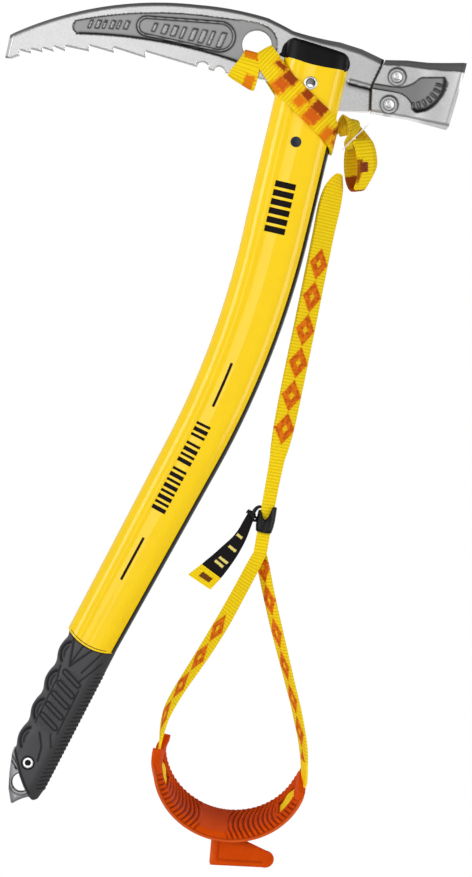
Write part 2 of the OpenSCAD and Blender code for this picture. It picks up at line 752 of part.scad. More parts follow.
function strand(from, to, w0, k) = [from + (to - from) * k, w0 * (1 - k) + strand_w * k];
function grow_w(p, h) = [p[0], unit(p[1]) * h];
split_l = [hang_end[0] - 0.2, -1.1, hang_end[1] - 0.1];
split_r = [hang_end[0] + 0.2, 1.1, hang_end[1] - 0.1];
low_l = split_l + [-0.2, -0.1, -6];
low_r = split_r + [0.6, 0.1, -6];
loop_path = concat(
    [[split_l, [4.3, 0, 0]]],
    [for (k = [0:1 / 8:7 / 8]) grow_w(strand(low_l, strand_l, [7, -1, 0], k),
        4.6 + 2.6 * min(1, k * 2.2))],
    [for (t = [cuff_from:8:cuff_to - 1]) cuff_in_loop(t)],
    [for (k = [1:-1 / 8:0]) grow_w(strand(low_r, strand_r, [-7, 1, 0], k),
        4.6 + 2.6 * min(1, k * 2.2))],
    [[split_r, [-4.3, 0, 0]]]
);

module wrist_loop() {
    color("gold") strap_run(loop_path, web_t);
}

module wrist_cuff() {
    h = cuff_w / 2;
    rib_n = 36;
    color("chocolate") at_cuff() rotate([90, 0, 0]) {
        difference() {
            rotate([0, 0, cuff_from]) rotate_extrude(angle = cuff_to - cuff_from, $fn = 96)
                polygon([[cuff_r + 0.6, -h], [cuff_r, -h + 1.2], [cuff_r, h - 1.2], [cuff_r + 0.6, h],
                [cuff_out - 1, h], [cuff_out, h - 2], [cuff_out, -h + 2], [cuff_out - 1, -h]]);
            rotate([0, 0, cuff_from - 5]) rotate_extrude(angle = cuff_to - cuff_from + 10, $fn = 96)
                translate([slot_r, -web_w / 2 - 0.4]) square([slot_t, web_w + 0.8]);
            for (t = [201, 330])
                rotate([0, 0, t]) translate([slot_r - 4, -5.6, -6.4]) cube([5, 11.2, 12.8]);
        }
        for (i = [0:rib_n - 1])
            let (t = cuff_from + 10.5 + i * 4.25)
                if (abs(t - 201) > 11 && abs(t - 330) > 11)
                    rotate([0, 0, t]) translate([cuff_r + 0.1, 0, -h + 3])
                        cylinder(r = 0.7, h = cuff_w - 6, $fn = 16);
    }
}

module cuff_tab() {
    color("chocolate") at_cuff() side(-1.5, 3) difference() {
        polygon(concat([[-4.2, -cuff_out + 3], [13, -cuff_out + 3], [13, -49.4]],
            arc3([29, -54.2], [34, -58.6], [29.6, -64.2], 6), [[-3, -69], [-4.2, -52]]));
        circle(r = cuff_out + 0.03, $fn = 96);
    }
}

head_pick();
hammer_head();
hammer_bolts();
hammer_nuts();
shaft_tube();
cap_cheek(-1);  // cap_front
cap_cheek(1);  // cap_back
head_rivet();
head_pin();
rear_strip();
grip_sleeve();
spike();
spike_plug();
grip_rivet();
leash_hitch();
leash_eye();
eye_stitches();
leash_label();
leash_strap();
slider_body();
slider_tab();
tab_end();
wrist_loop();
wrist_cuff();
cuff_tab();
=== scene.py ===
# Looks for the ice axe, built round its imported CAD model. Lengths are in millimetres until
# a mesh is made, and X runs from the pick to the hammer, Z is up and -Y faces the camera.
import math

import bpy
import numpy as np
from mathutils import Matrix, Vector
from mathutils.geometry import delaunay_2d_cdt


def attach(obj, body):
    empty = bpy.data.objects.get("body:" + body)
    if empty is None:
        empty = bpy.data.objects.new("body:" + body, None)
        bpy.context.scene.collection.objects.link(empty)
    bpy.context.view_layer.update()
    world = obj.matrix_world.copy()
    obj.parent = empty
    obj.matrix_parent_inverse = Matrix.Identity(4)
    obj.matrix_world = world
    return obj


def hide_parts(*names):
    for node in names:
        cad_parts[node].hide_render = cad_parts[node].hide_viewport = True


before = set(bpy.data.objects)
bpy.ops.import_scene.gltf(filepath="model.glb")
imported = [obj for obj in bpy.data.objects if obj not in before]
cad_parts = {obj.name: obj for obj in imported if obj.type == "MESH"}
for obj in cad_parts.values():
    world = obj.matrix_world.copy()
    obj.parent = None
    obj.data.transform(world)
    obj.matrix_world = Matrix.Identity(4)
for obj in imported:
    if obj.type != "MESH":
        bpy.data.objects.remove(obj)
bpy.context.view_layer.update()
scene = bpy.context.scene
MM = 0.001
rad = math.radians


# ---------------------------------------------------------------- maths
def unit(v):
    v = np.asarray(v, float)
    return v / np.linalg.norm(v)


def arc3(a, m, b, n):
    """n + 1 points on the circle from a through m to b."""
    a, m, b = (np.asarray(p, float) for p in (a, m, b))
    d = 2 * (a[0] * (m[1] - b[1]) + m[0] * (b[1] - a[1]) + b[0] * (a[1] - m[1]))
    aa, mm, bb = a @ a, m @ m, b @ b
    c = np.array([aa * (m[1] - b[1]) + mm * (b[1] - a[1]) + bb * (a[1] - m[1]),
                  aa * (b[0] - m[0]) + mm * (a[0] - b[0]) + bb * (m[0] - a[0])]) / d
    r = np.linalg.norm(a - c)
    t0 = math.atan2(*(a - c)[::-1])
    t1 = math.atan2(*(b - c)[::-1])
    ccw = (m[0] - a[0]) * (b[1] - m[1]) - (m[1] - a[1]) * (b[0] - m[0]) > 0
    w = (t1 - t0) % (2 * math.pi) if ccw else -((t0 - t1) % (2 * math.pi))
    return [tuple(c + r * np.array([math.cos(t0 + w * i / n), math.sin(t0 + w * i / n)]))
            for i in range(n + 1)]


def around(c, r, t0, t1, n):
    turns = [rad(t0 + (t1 - t0) * i / n) for i in range(n + 1)]
    return [(c[0] + r * math.cos(t), c[1] + r * math.sin(t)) for t in turns]


def capsule(c1, r1, c2, r2, n=16):
    """Outline round two circles of different size."""
    c1, c2 = np.asarray(c1, float), np.asarray(c2, float)
    f = math.degrees(math.atan2(*(c2 - c1)[::-1]))
    b = math.degrees(math.acos((r1 - r2) / np.linalg.norm(c2 - c1)))
    return around(c1, r1, f + b, f + 360 - b, n) + around(c2, r2, f - b, f + b, n)


def smooth(x, lo=0.0, hi=1.0):
    t = np.clip((np.asarray(x, float) - lo) / (hi - lo), 0, 1)
    return t * t * (3 - 2 * t)


def resample(loop, step, closed=True):
    """Points along a line, no further apart than step, with its corners kept."""
    pts = [np.asarray(p, float) for p in loop]
    out = []
    for i in range(len(pts) if closed else len(pts) - 1):
        a, b = pts[i], pts[(i + 1) % len(pts)]
        n = max(1, int(math.ceil(np.linalg.norm(b - a) / step)))
        out += [a + (b - a) * k / n for k in range(n)]
    if not closed:
        out.append(pts[-1])
    return np.array(out)


def spline(rows, per):
    """Catmull-Rom through rows of numbers, per steps between each two."""
    r = np.array(rows, float)
    r = np.vstack([2 * r[0] - r[1], r, 2 * r[-1] - r[-2]])
    out = []
    for i in range(1, len(r) - 2):
        p0, p1, p2, p3 = r[i - 1], r[i], r[i + 1], r[i + 2]
        for k in range(per):
            t = k / per
            out.append(0.5 * (2 * p1 + (p2 - p0) * t + (2 * p0 - 5 * p1 + 4 * p2 - p3) * t * t
                              + (3 * p1 - p0 - 3 * p2 + p3) * t ** 3))
    out.append(r[-2])
    return np.array(out)


def even(rows, step):
    """Resamples rows so that their first three columns, a line in space, advance by about step."""
    r = np.asarray(rows, float)
    d = np.concatenate([[0], np.cumsum(np.linalg.norm(np.diff(r[:, :3], axis=0), axis=1))])
    n = max(2, int(round(d[-1] / step)))
    t = np.linspace(0, d[-1], n + 1)
    return np.stack([np.interp(t, d, r[:, k]) for k in range(r.shape[1])], axis=1), t


def seg_dist(p, line, closed=False):
    """Distance of each point of p, an (n, 2) array, to a line of points."""
    a = np.asarray(line, float)
    b = np.roll(a, -1, axis=0)
    if not closed:
        a, b = a[:-1], b[:-1]
    best = np.full(len(p), 1e9)
    for s, e in zip(a, b):
        d = e - s
        t = np.clip(((p - s) @ d) / max(d @ d, 1e-12), 0, 1)
        q = p - s - t[:, None] * d
        best = np.minimum(best, (q * q).sum(1))
    return np.sqrt(best)


def inside(p, loop):
    x, y = p[:, 0], p[:, 1]
    hit = np.zeros(len(p), bool)
    q = np.asarray(loop, float)
    for (x0, y0), (x1, y1) in zip(q, np.roll(q, -1, axis=0)):
        if y0 != y1:
            hit ^= ((y0 > y) != (y1 > y)) & (x < (x1 - x0) * (y - y0) / (y1 - y0) + x0)
    return hit


def signed(p, loop):
    """Distance to a closed outline, positive inside it."""
    d = seg_dist(p, loop, True)
    return np.where(inside(p, loop), d, -d)


# ---------------------------------------------------------------- meshes
def add_mesh(name, verts, faces, body, mat, slot=None, replaces=(), sharp=40, uvs=None, attrs=None):
    """A mesh from points in millimetres that rides on a body, with its faces turned outwards.
    uvs has one pair per vertex."""
    me = bpy.data.meshes.new(name)
    v = np.asarray(verts, float) * MM
    me.from_pydata([tuple(p) for p in v], [], [tuple(int(i) for i in f) for f in fix_out(verts, faces)])
    me.materials.append(mat)
    if uvs is not None:
        layer = me.uv_layers.new(name="uv")
        idx = np.zeros(len(me.loops), np.int32)
        me.loops.foreach_get("vertex_index", idx)
        layer.data.foreach_set("uv", np.asarray(uvs, np.float32)[idx].ravel())
    for key, val in (attrs or {}).items():
        at = me.attributes.new(key, "FLOAT", "POINT")
        at.data.foreach_set("value", np.asarray(val, np.float32))
    me.validate()
    me.shade_smooth()
    me.set_sharp_from_angle(angle=rad(sharp))
    ob = bpy.data.objects.new(name, me)
    scene.collection.objects.link(ob)
    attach(ob, body)
    if replaces:
        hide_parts(*replaces)
    return ob


def grid_faces(rows, cols, wrap=True, start=0, flip=False):
    """Quads of a grid of points stored row by row; the columns close into a ring."""
    f = []
    for i in range(rows - 1):
        for k in range(cols if wrap else cols - 1):
            a = start + i * cols + k
            b = start + i * cols + (k + 1) % cols
            q = (a, b, b + cols, a + cols)
            f.append(q[::-1] if flip else q)
    return f


def torus_faces(rows, cols):
    """Quads of a grid of points that closes both ways."""
    faces = []
    for i in range(rows):
        a, b = i * cols, (i + 1) % rows * cols
        faces += [(a + k, a + (k + 1) % cols, b + (k + 1) % cols, b + k) for k in range(cols)]
    return faces


def tube_mesh(rings):
    """Points and faces of a closed skin over rings of equal length, capped at both ends."""
    n = len(rings[0])
    verts = [p for r in rings for p in r]
    faces = grid_faces(len(rings), n)
    c0, c1 = len(verts), len(verts) + 1
    verts += [np.mean(rings[0], axis=0), np.mean(rings[-1], axis=0)]
    last = (len(rings) - 1) * n
    faces += [(c0, (k + 1) % n, k) for k in range(n)]
    faces += [(c1, last + k, last + (k + 1) % n) for k in range(n)]
    return verts, faces


def fix_out(verts, faces):
    """Turns all the faces round if the closed mesh is inside out."""
    v = np.asarray(verts, float)
    tri = np.array([(f[0], f[k], f[k + 1]) for f in faces for k in range(1, len(f) - 1)])
    volume = (v[tri[:, 0]] * np.cross(v[tri[:, 1]], v[tri[:, 2]])).sum()
    return faces if volume > 0 else [tuple(f[::-1]) for f in faces]


def plate(name, outline, holes, half, body, mat, step=0.7, extra=(), to3=None, mid_y=0.0, wall_rows=3, **kw):
    """A plate drawn by its outline in X and Z. half(p) gives half its thickness at each point,
    and named values that are stored on the vertices. extra holds lines that the mesh follows,
    each with whether it closes. to3 bends the flat plate's points into place."""
    loops = [resample(outline, step)] + [resample(h, step) for h in holes]
    lines = [resample(e, step, c) for e, c in extra]
    pts, edges = [], []
    for lp in loops:
        s = len(pts)
        pts += list(lp)
        edges += [(s + i, s + (i + 1) % len(lp)) for i in range(len(lp))]
    for (e, c), lp in zip(extra, lines):
        s = len(pts)
        pts += list(lp)
        edges += [(s + i, s + i + 1) for i in range(len(lp) - 1)]
        if c:
            edges.append((s + len(lp) - 1, s))
    lo, hi = np.min(loops[0], axis=0), np.max(loops[0], axis=0)
    gx = np.arange(lo[0], hi[0], step)
    gz = np.arange(lo[1], hi[1], step * 0.87)
    g = np.array([(x + (step / 2 if j % 2 else 0), z) for j, z in enumerate(gz) for x in gx])
    ok = inside(g, loops[0])
    for h in loops[1:]:
        ok &= ~inside(g, h)
    g = g[ok]
    near = np.full(len(g), 1e9)
    for lp in loops:
        near = np.minimum(near, seg_dist(g, lp, True))
    for (e, c), lp in zip(extra, lines):
        near = np.minimum(near, seg_dist(g, lp, c))
    g = g[near > step * 0.45]
    pts += list(g)
    out = delaunay_2d_cdt([Vector(p) for p in pts], edges, [], 0, 1e-5)
    p = np.array([tuple(v) for v in out[0]])
    tri = np.array([tuple(f) for f in out[2]])
    mid = p[tri].mean(axis=1)
    ok = inside(mid, loops[0])
    for h in loops[1:]:
        ok &= ~inside(mid, h)
    tri = tri[ok]
    used = np.unique(tri)
    remap = np.full(len(p), -1)
    remap[used] = np.arange(len(used))
    p, tri = p[used], remap[tri]
    area = np.cross(p[tri[:, 1]] - p[tri[:, 0]], p[tri[:, 2]] - p[tri[:, 0]])
    tri[area < 0] = tri[area < 0][:, ::-1]
    h, attrs = half(p)
    n = len(p)
    e = np.vstack([tri[:, [0, 1]], tri[:, [1, 2]], tri[:, [2, 0]]])
    key = {(a, b) for a, b in e}
    rim = [(a, b) for a, b in key if (b, a) not in key]
    front = np.column_stack([p[:, 0], mid_y - h, p[:, 1]])
    back = np.column_stack([p[:, 0], mid_y + h, p[:, 1]])
    verts = [front, back]
    at = {k: [v, v] for k, v in attrs.items()}
    faces = [tuple(t) for t in tri] + [tuple(t[::-1] + n) for t in tri]
    rim_v = sorted({a for a, b in rim})
    pos = {a: i for i, a in enumerate(rim_v)}
    rows = [lambda a: a]
    base = 2 * n
    for r in range(1, wall_rows):
        t = r / wall_rows
        verts.append(front[rim_v] * (1 - t) + back[rim_v] * t)
        for k, v in attrs.items():
            at[k].append(v[rim_v])
        rows.append(lambda a, s=base: s + pos[a])
        base += len(rim_v)
    rows.append(lambda a: a + n)
    for a, b in rim:
        for r in range(wall_rows):
            faces.append((rows[r](b), rows[r](a), rows[r + 1](a), rows[r + 1](b)))
    verts = np.vstack(verts)
    if to3 is not None:
        verts = to3(verts)
    return add_mesh(name, verts, faces, body, mat, attrs={k: np.concatenate(v) for k, v in at.items()}, **kw)


# ---------------------------------------------------------------- materials
class Graph:
    """Short names for the shader nodes of one material."""

    def __init__(self, name):
        self.mat = bpy.data.materials.new(name)
        self.mat.use_nodes = True
        self.t = self.mat.node_tree
        self.bsdf = next(n for n in self.t.nodes if n.type == "BSDF_PRINCIPLED")

    def set(self, **kw):
        for k, v in kw.items():
            self.put(self.bsdf.inputs[k.replace("_", " ")], v)
        return self.mat

    def put(self, sock, v):
        if isinstance(v, bpy.types.NodeSocket):
            self.t.links.new(v, sock)
        elif isinstance(v, tuple) and len(v) == 3 and sock.type == "RGBA":
            sock.default_value = (*v, 1)
        else:
            sock.default_value = v

    def math(self, op, a, b=0.0):
        n = self.t.nodes.new("ShaderNodeMath")
        n.operation = op
        self.put(n.inputs[0], a)
        self.put(n.inputs[1], b)
        return n.outputs[0]

    def add(self, a, b):
        return self.math("ADD", a, b)

    def sub(self, a, b):
        return self.math("SUBTRACT", a, b)

    def mul(self, a, b):
        return self.math("MULTIPLY", a, b)

    def step(self, x, lo, hi, out_lo=0.0, out_hi=1.0):
        n = self.t.nodes.new("ShaderNodeMapRange")
        n.interpolation_type = "SMOOTHSTEP"
        for s, v in zip(n.inputs, (x, lo, hi, out_lo, out_hi)):
            self.put(s, v)
        return n.outputs[0]

    def mix(self, f, a, b):
        n = self.t.nodes.new("ShaderNodeMix")
        n.data_type = "RGBA"
        self.put(n.inputs[0], f)
        self.put(n.inputs[6], a)
        self.put(n.inputs[7], b)
        return n.outputs[2]

    def coords(self):
        """Object coordinates in millimetres."""
        c = self.t.nodes.new("ShaderNodeTexCoord")
        m = self.t.nodes.new("ShaderNodeMapping")
        m.inputs["Scale"].default_value = (1000, 1000, 1000)
        self.t.links.new(c.outputs["Object"], m.inputs["Vector"])
        return m.outputs[0]

    def uv(self):
        """The two numbers of the uv map, which are millimetres on the surface."""
        m = self.t.nodes.new("ShaderNodeUVMap")
        m.uv_map = "uv"
        s = self.t.nodes.new("ShaderNodeSeparateXYZ")
        self.t.links.new(m.outputs[0], s.inputs[0])
        return s.outputs[0], s.outputs[1]

    def vec(self, x, y):
        n = self.t.nodes.new("ShaderNodeCombineXYZ")
        for s, v in zip(n.inputs, (x, y)):
            self.put(s, v)
        return n.outputs[0]

    def noise(self, vec, scale, detail=3.0, rough=0.55):
        n = self.t.nodes.new("ShaderNodeTexNoise")
        self.put(n.inputs["Vector"], vec)
        n.inputs["Scale"].default_value = scale
        n.inputs["Detail"].default_value = detail
        n.inputs["Roughness"].default_value = rough
        return n.outputs[0]

    def attr(self, name):
        n = self.t.nodes.new("ShaderNodeAttribute")
        n.attribute_name = name
        return n.outputs["Fac"]

    def bump(self, height, dist, strength):
        """dist is the height in metres that a value of 1 stands for."""
        n = self.t.nodes.new("ShaderNodeBump")
        n.inputs["Strength"].default_value = strength
        n.inputs["Distance"].default_value = dist
        self.put(n.inputs["Height"], height)
        return n.outputs[0]


def steel(name, base=(0.6, 0.6, 0.6), rough=0.36, floor=False):
    """Tumbled forged steel: fine grain and soft blotches. With floor, sunk floors turn darker and rougher,
    bevels darker as painted shade, and creases and corners near black as painted shade.
    """
    g = Graph(name)
    v = g.coords()
    grain = g.noise(v, 2.2, 4, 0.65)
    blotch = g.noise(v, 0.12, 3, 0.5)
    dark = tuple(c * 0.86 for c in base)
    light = tuple(min(1.0, c * 1.1) for c in base)
    col = g.mix(g.step(grain, 0.35, 0.65), dark, light)
    col = g.mix(g.step(blotch, 0.35, 0.7, 0.0, 0.3), col, dark)
    r = g.step(grain, 0.3, 0.7, rough - 0.05, rough + 0.1)
    if floor:
        # sunk darkens and roughens recess floors, and darkens bevels, chamfers and the hammer's flare as
        # painted shade
        sunk, line = g.attr("sunk"), g.attr("line")
        col = g.mix(g.mul(sunk, 0.85), col, tuple(c * 0.36 for c in base))
        # near-black painted shade in creases, grooves, gaps and corners
        col = g.mix(g.mul(line, 0.95), col, (0.008, 0.008, 0.008))
        r = g.add(r, g.mul(sunk, 0.16))
    return g.set(Base_Color=col, Metallic=1.0, Roughness=r, Normal=g.bump(grain, 0.00002, 0.35))


def plastic(name, base, rough=0.4, coat=0.0, spec=0.5, blotch=0.1):
    """Moulded plastic, paint or cloth with a fine grain and soft changes of tone."""
    g = Graph(name)
    v = g.coords()
    n1 = g.noise(v, 4, 3, 0.6)
    n2 = g.noise(v, 0.09, 2, 0.5)
    lo = tuple(c * (1 - blotch) for c in base)
    hi = tuple(min(1.0, c * (1 + blotch)) for c in base)
    col = g.mix(g.step(n2, 0.3, 0.7), lo, hi)
    return g.set(Base_Color=col, Roughness=g.step(n1, 0.3, 0.7, rough - 0.05, rough + 0.07),
                 Specular_IOR_Level=spec, Coat_Weight=coat, Coat_Roughness=0.12,
                 Normal=g.bump(n1, 0.00001, 0.5))


def rubber(name, base):
    """Matt moulded rubber, darkened with painted shade in its hollows, where it is also less glossy."""
    g = Graph(name)
    v = g.coords()
    grain = g.noise(v, 3.5, 3, 0.6)
    col = g.mix(g.mul(g.attr("line"), 0.8), base, tuple(c * 0.12 for c in base))
    gloss = g.step(g.attr("line"), 0.0, 0.6, 0.3, 0.0)
    return g.set(Base_Color=col, Roughness=g.step(grain, 0.3, 0.7, 0.45, 0.62), Specular_IOR_Level=gloss,
                 Normal=g.bump(grain, 0.00003, 0.6))


YELLOW = (0.98, 0.68, 0.008)
RED = (0.5, 0.03, 0.004)
ORANGE = (0.8, 0.17, 0.006)


def webbing(name, marks=None, rib=1.9, base=YELLOW, shade=None):
    """Flat woven webbing. Its uv map is across and along in millimetres. marks is
    (pitch, first, last): where the plain woven lozenges lie along it. shade changes its colour."""
    g = Graph(name)
    u, w = g.uv()
    wig = g.mul(g.sub(g.noise(g.vec(u, w), 0.6, 2), 0.5), 0.9)
    ribs = g.math("SINE", g.mul(g.add(w, wig), 2 * math.pi / rib))
    warp = g.math("SINE", g.mul(u, 2 * math.pi / 0.9))
    fibre = g.noise(g.vec(g.mul(u, 3.0), w), 2.5, 3, 0.6)
    h = g.add(g.mul(ribs, 0.5), g.mul(warp, 0.22))
    h = g.add(h, g.mul(fibre, 0.5))
    # painted shade: the hollows between the ribs are darker
    deep = tuple(c * 0.74 for c in base[:2]) + (base[2],)
    col = g.mix(g.step(ribs, -1.0, 0.2), deep, base)
    col = g.mix(g.step(fibre, 0.4, 0.7, 0.0, 0.4), col, tuple(min(1, c * 1.15) for c in base))
    if marks:
        pitch, first, last = marks
        cell = g.sub(g.math("MODULO", g.add(g.sub(w, first), 1000 * pitch), pitch),
                      pitch / 2)
        jag = g.mul(g.sub(g.noise(g.vec(u, w), 1.1, 2), 0.5), 0.35)
        d = g.add(g.math("DIVIDE", g.math("ABSOLUTE", u), 5.6),
                   g.math("DIVIDE", g.math("ABSOLUTE", cell), pitch * 0.42))
        d = g.add(d, jag)
        ring = g.mul(g.step(d, 0.26, 0.36), g.step(d, 1.2, 1.08))
        on = g.mul(g.step(w, first - 0.5, first + 0.5), g.step(w, last + 0.5, last - 0.5))
        ring = g.mul(ring, on)
        tone = g.mix(g.step(g.noise(g.vec(u, w), 0.35, 2), 0.4, 0.6), RED, ORANGE)
        col = g.mix(g.mul(ring, 0.93), col, tone)
        halo = g.mul(g.mul(g.step(d, 1.5, 1.0), on), 0.25)
        col = g.mix(halo, col, ORANGE)
    if shade:
        col = shade(g, col, u, w)
    return g.set(Base_Color=col, Roughness=0.72, Specular_IOR_Level=0.06, Normal=g.bump(h, 0.00012, 0.8))


# ---------------------------------------------------------------- camera
cam = bpy.data.cameras.new("camera")
cam_ob = bpy.data.objects.new("camera", cam)
scene.collection.objects.link(cam_ob)
cam.sensor_fit = "VERTICAL"
cam.sensor_height = 36
cam_dist = 1450
view_height = 511.3
cam.lens = cam.sensor_height * cam_dist / view_height
cam.clip_start, cam.clip_end = 0.05, 20
aim = (-2.4, 0, -238.7)
right = Vector((0.98657, 0, 0.16332))
up = Vector((-0.16332, 0, 0.98657))
near = Vector((0, -1, 0))
place = Matrix((right, up, near)).transposed().to_4x4()
place.translation = Vector((aim[0] * MM, -cam_dist * MM, aim[2] * MM))
cam_ob.matrix_world = place
scene.camera = cam_ob
scene.view_settings.view_transform = "Standard"


# ---------------------------------------------------------------- materials in use
m_steel = steel("steel_plate", (0.6, 0.6, 0.6), 0.34, floor=True)
m_plain_steel = steel("spike_steel", (0.42, 0.42, 0.44), 0.38, floor=True)
m_bright = steel("bright_steel", (0.85, 0.85, 0.85), 0.2)
m_dark = steel("dark_steel", (0.035, 0.04, 0.06), 0.3)
m_yellow = plastic("yellow_paint", (1.0, 0.66, 0.0), 0.3, coat=0.6, spec=0.03, blotch=0.015)
m_black = plastic("black_plastic", (0.004, 0.004, 0.005), 0.25, spec=0.22)
m_cap = plastic("cap_plastic", (0.004, 0.004, 0.005), 0.42, spec=0.12)
m_print = plastic("print_ink", (0.006, 0.003, 0.003), 0.4, spec=0.1)
m_rubber = rubber("grip_rubber", (0.06, 0.06, 0.064))
m_label = plastic("label_cloth", (0.85, 0.85, 0.83), 0.7, spec=0.2)
m_thread = plastic("thread", (0.35, 0.06, 0.01), 0.7)

# ---------------------------------------------------------------- head plate
PLATE_HALF = 2.5
HOLE, HOLE_R = (-27.8, -10.4), 8.6
RIVET, RIVET_R = (6.7, -28.7), 3.05
PIN, PIN_R = (3.8, -63.7), 3.1
TIP = (-171.3, -41.6)
front_top = (-170.6, -28)
crown = (arc3(front_top, (-120, -3.2), (-65, 7), 26)[:-1] + arc3((-65, 7), (-44, 7.6), (-24, 6), 10)[:-1]
         + arc3((-24, 6), (-15, 3.3), (-8, 0.9), 4)[:-1] + arc3((-8, 0.9), (6, -0.6), (20, -1.1), 6)
         + [(33, -3), (46.8, -7.0)])
seam = [(45.4, -9), (41.7, -21.5), (40.9, -25.5), (42.6, -38.4)]
tongue = [(46.7, -8.8), (46, -10.8), (64, -11.4), (64, -36.6), (43, -37.2), (42.6, -38.4)]
tang = [(24, -40.8), (19, -44), (16, -72), (12, -76), (-4.5, -76), (-8.5, -72), (-9.5, -38), (-12, -34.5)]
# steep face, point and notch of each tooth
teeth = [(-163, -38.9, -35.9), (-156.7, -36.5, -34.1), (-150.2, -34.8, -32.4), (-143.8, -33.4, -30.5),
         (-137.4, -32.1, -29.2), (-123.6, -29.8, -26.6), (-109.2, -28.3, -25.4), (-90.6, -28.2, -24.7),
         (-60.1, -28.6, -25.6)]
tooth_pts = [q for x, z, n in teeth[::-1] for q in ((x - 0.3, n), (x, z))]
under = [(-13, -31.5), (-20, -29.8), (-41.5, -29.6), (-43.5, -29.5)] + around((-46.6, -29.6), 3.1, 2, 178, 12)
under += [(-51.5, -29.3), (-53.4, -28.9)] + around((-56.5, -28.6), 3.1, 4, 180, 12)
low_edge = tang + under + tooth_pts + [(-167.5, -41.2), TIP]
panel_top = arc3((-134, -13.5), (-100, -3.6), (-55, 1.6), 18) + [(-40, 2.2)]
panel_end = around(HOLE, 12.2, 78, -112, 26)
panel_low = arc3((-38.7, -22.6), (-88, -18.5), (-130.8, -21.6), 18)
panel_tip = arc3((-133, -21), (-135.6, -17.9), (-135, -14.8), 5)
panel = panel_top + panel_end + panel_low + panel_tip
ring_out = capsule((-92.9, -10.2), 5.9, (-49.8, -9.4), 9)
ring_in = capsule((-92.9, -10.2), 4.3, (-49.8, -9.4), 7.4)
groove = capsule((29.8, -23.1), 2.1, (47, -24.7), 1.9)


def slanted(x, z, w, h):
    lean = h * 0.25
    return [(x, z), (x + w, z), (x + w + lean, z + h), (x + lean, z + h)]


# plain bars where a maker would put words
marks = [slanted(-89.5 + i * 5.5, -12.6 - 0.42 * i, 2.6 if i % 3 else 1.5, 4.8 + 0.55 * i) for i in range(8)]
marks += [slanted(-126.5 + i * 4.1, -16.6 + 0.55 * i, 1.9 if i % 2 else 1.1, 4.6) for i in range(6)]


def edge_round(d, r):
    """How far a rounded edge of radius r drops at distance d from it."""
    t = np.clip(1 - d / r, 0, 1)
    return r * (1 - np.sqrt(1 - t * t))


def glow(d, width):
    return np.exp(-(d / width) ** 2)


def head_half(p):
    h = np.full(len(p), PLATE_HALF)
    wide = 2.1 + 1.3 * smooth(p[:, 0], -20, 25)
    bevel = np.clip(1 - seg_dist(p, crown) / wide, 0, 1)
    front = np.clip(1 - seg_dist(p, [TIP, front_top]) / 2.2, 0, 1)
    h -= 1.5 * bevel + 1.1 * front
    h -= edge_round(seg_dist(p, low_edge), 0.45)
    in_panel = inside(p, panel)
    top, low = seg_dist(p, panel_top), seg_dist(p, panel_low)
    ends = np.minimum(seg_dist(p, panel_end), seg_dist(p, panel_tip))
    wall = np.minimum(smooth(top, 0, 0.6), np.minimum(smooth(low, 0, 1.5), smooth(ends, 0, 0.7)))
    out_d, in_d = signed(p, ring_out), -signed(p, ring_in)
    ridge = smooth(np.minimum(out_d, in_d), 0, 0.45)
    # line lays near-black painted shade along the ring's edges and the panel's walls, round the marks, on the
    # groove's walls, in the seam's gap and at the hole's rim
    line = np.maximum(glow(out_d, 0.6), glow(in_d, 0.42) * 0.9)
    bars = np.zeros(len(p))
    for m in marks:
        d = signed(p, m)
        bars = np.maximum(bars, smooth(d, -0.1, 0.4))
        line = np.maximum(line, glow(d + 0.15, 0.5) * 0.95)
    lift = np.maximum(ridge * 0.85, bars * 0.6)
    for d, w, k in ((top - 0.3, 0.5, 0.9), (low - 0.85, 0.95, 1.0), (ends - 0.35, 0.6, 0.95)):
        line = np.maximum(line, glow(d, w) * k)
    line = np.where(in_panel, line, 0)
    # the panel's sunk floor, also darker in colour, less so on the raised ring and marks
    sunk = np.where(in_panel, wall, 0)
    h -= 0.8 * sunk * (1 - 0.9 * lift)
    gd = signed(p, groove)
    h -= 0.7 * smooth(gd, 0, 0.9)
    # painted shade on the groove's walls, heavier on its lower wall
    below = p[:, 1] < -23.3 - (p[:, 0] - 30) * 0.09
    groove_shade = np.where(below, 1.0, 0.6) * glow(gd - 0.8, np.where(below, 1.7, 0.7)) * (p[:, 0] < 42)
    line = np.maximum(line, groove_shade)
    # past the seam the tongue is painted near black: painted shade in the gap between the plate and the
    # hammer
    zs = [-q[1] for q in seam]
    past = p[:, 0] - np.interp(-p[:, 1], zs, [q[0] for q in seam])
    line = np.maximum(line, smooth(past, -0.2, 0.15))
    line = np.maximum(line, glow(np.linalg.norm(p - HOLE, axis=1) - HOLE_R, 0.45) * 0.5)
    # painted shade on the crown's and the front edge's bevels
    bevel_shade = np.maximum(smooth(bevel, 0, 0.25), smooth(front, 0, 0.25))
    return h, {"sunk": np.maximum(sunk * (0.75 - 0.4 * lift), bevel_shade), "line": np.clip(line, 0, 1)}


head_holes = [around(HOLE, HOLE_R, 0, 354, 59), around(RIVET, RIVET_R, 0, 345, 23),
              around(PIN, PIN_R, 0, 345, 23)]
plate("head", crown + tongue + low_edge, head_holes, head_half, "axe", m_steel, step=0.64,
      extra=[(panel, True), (ring_out, True), (ring_in, True), (groove, True)] + [(m, True) for m in marks],
      replaces=["head_pick"], slot="steel", sharp=34)

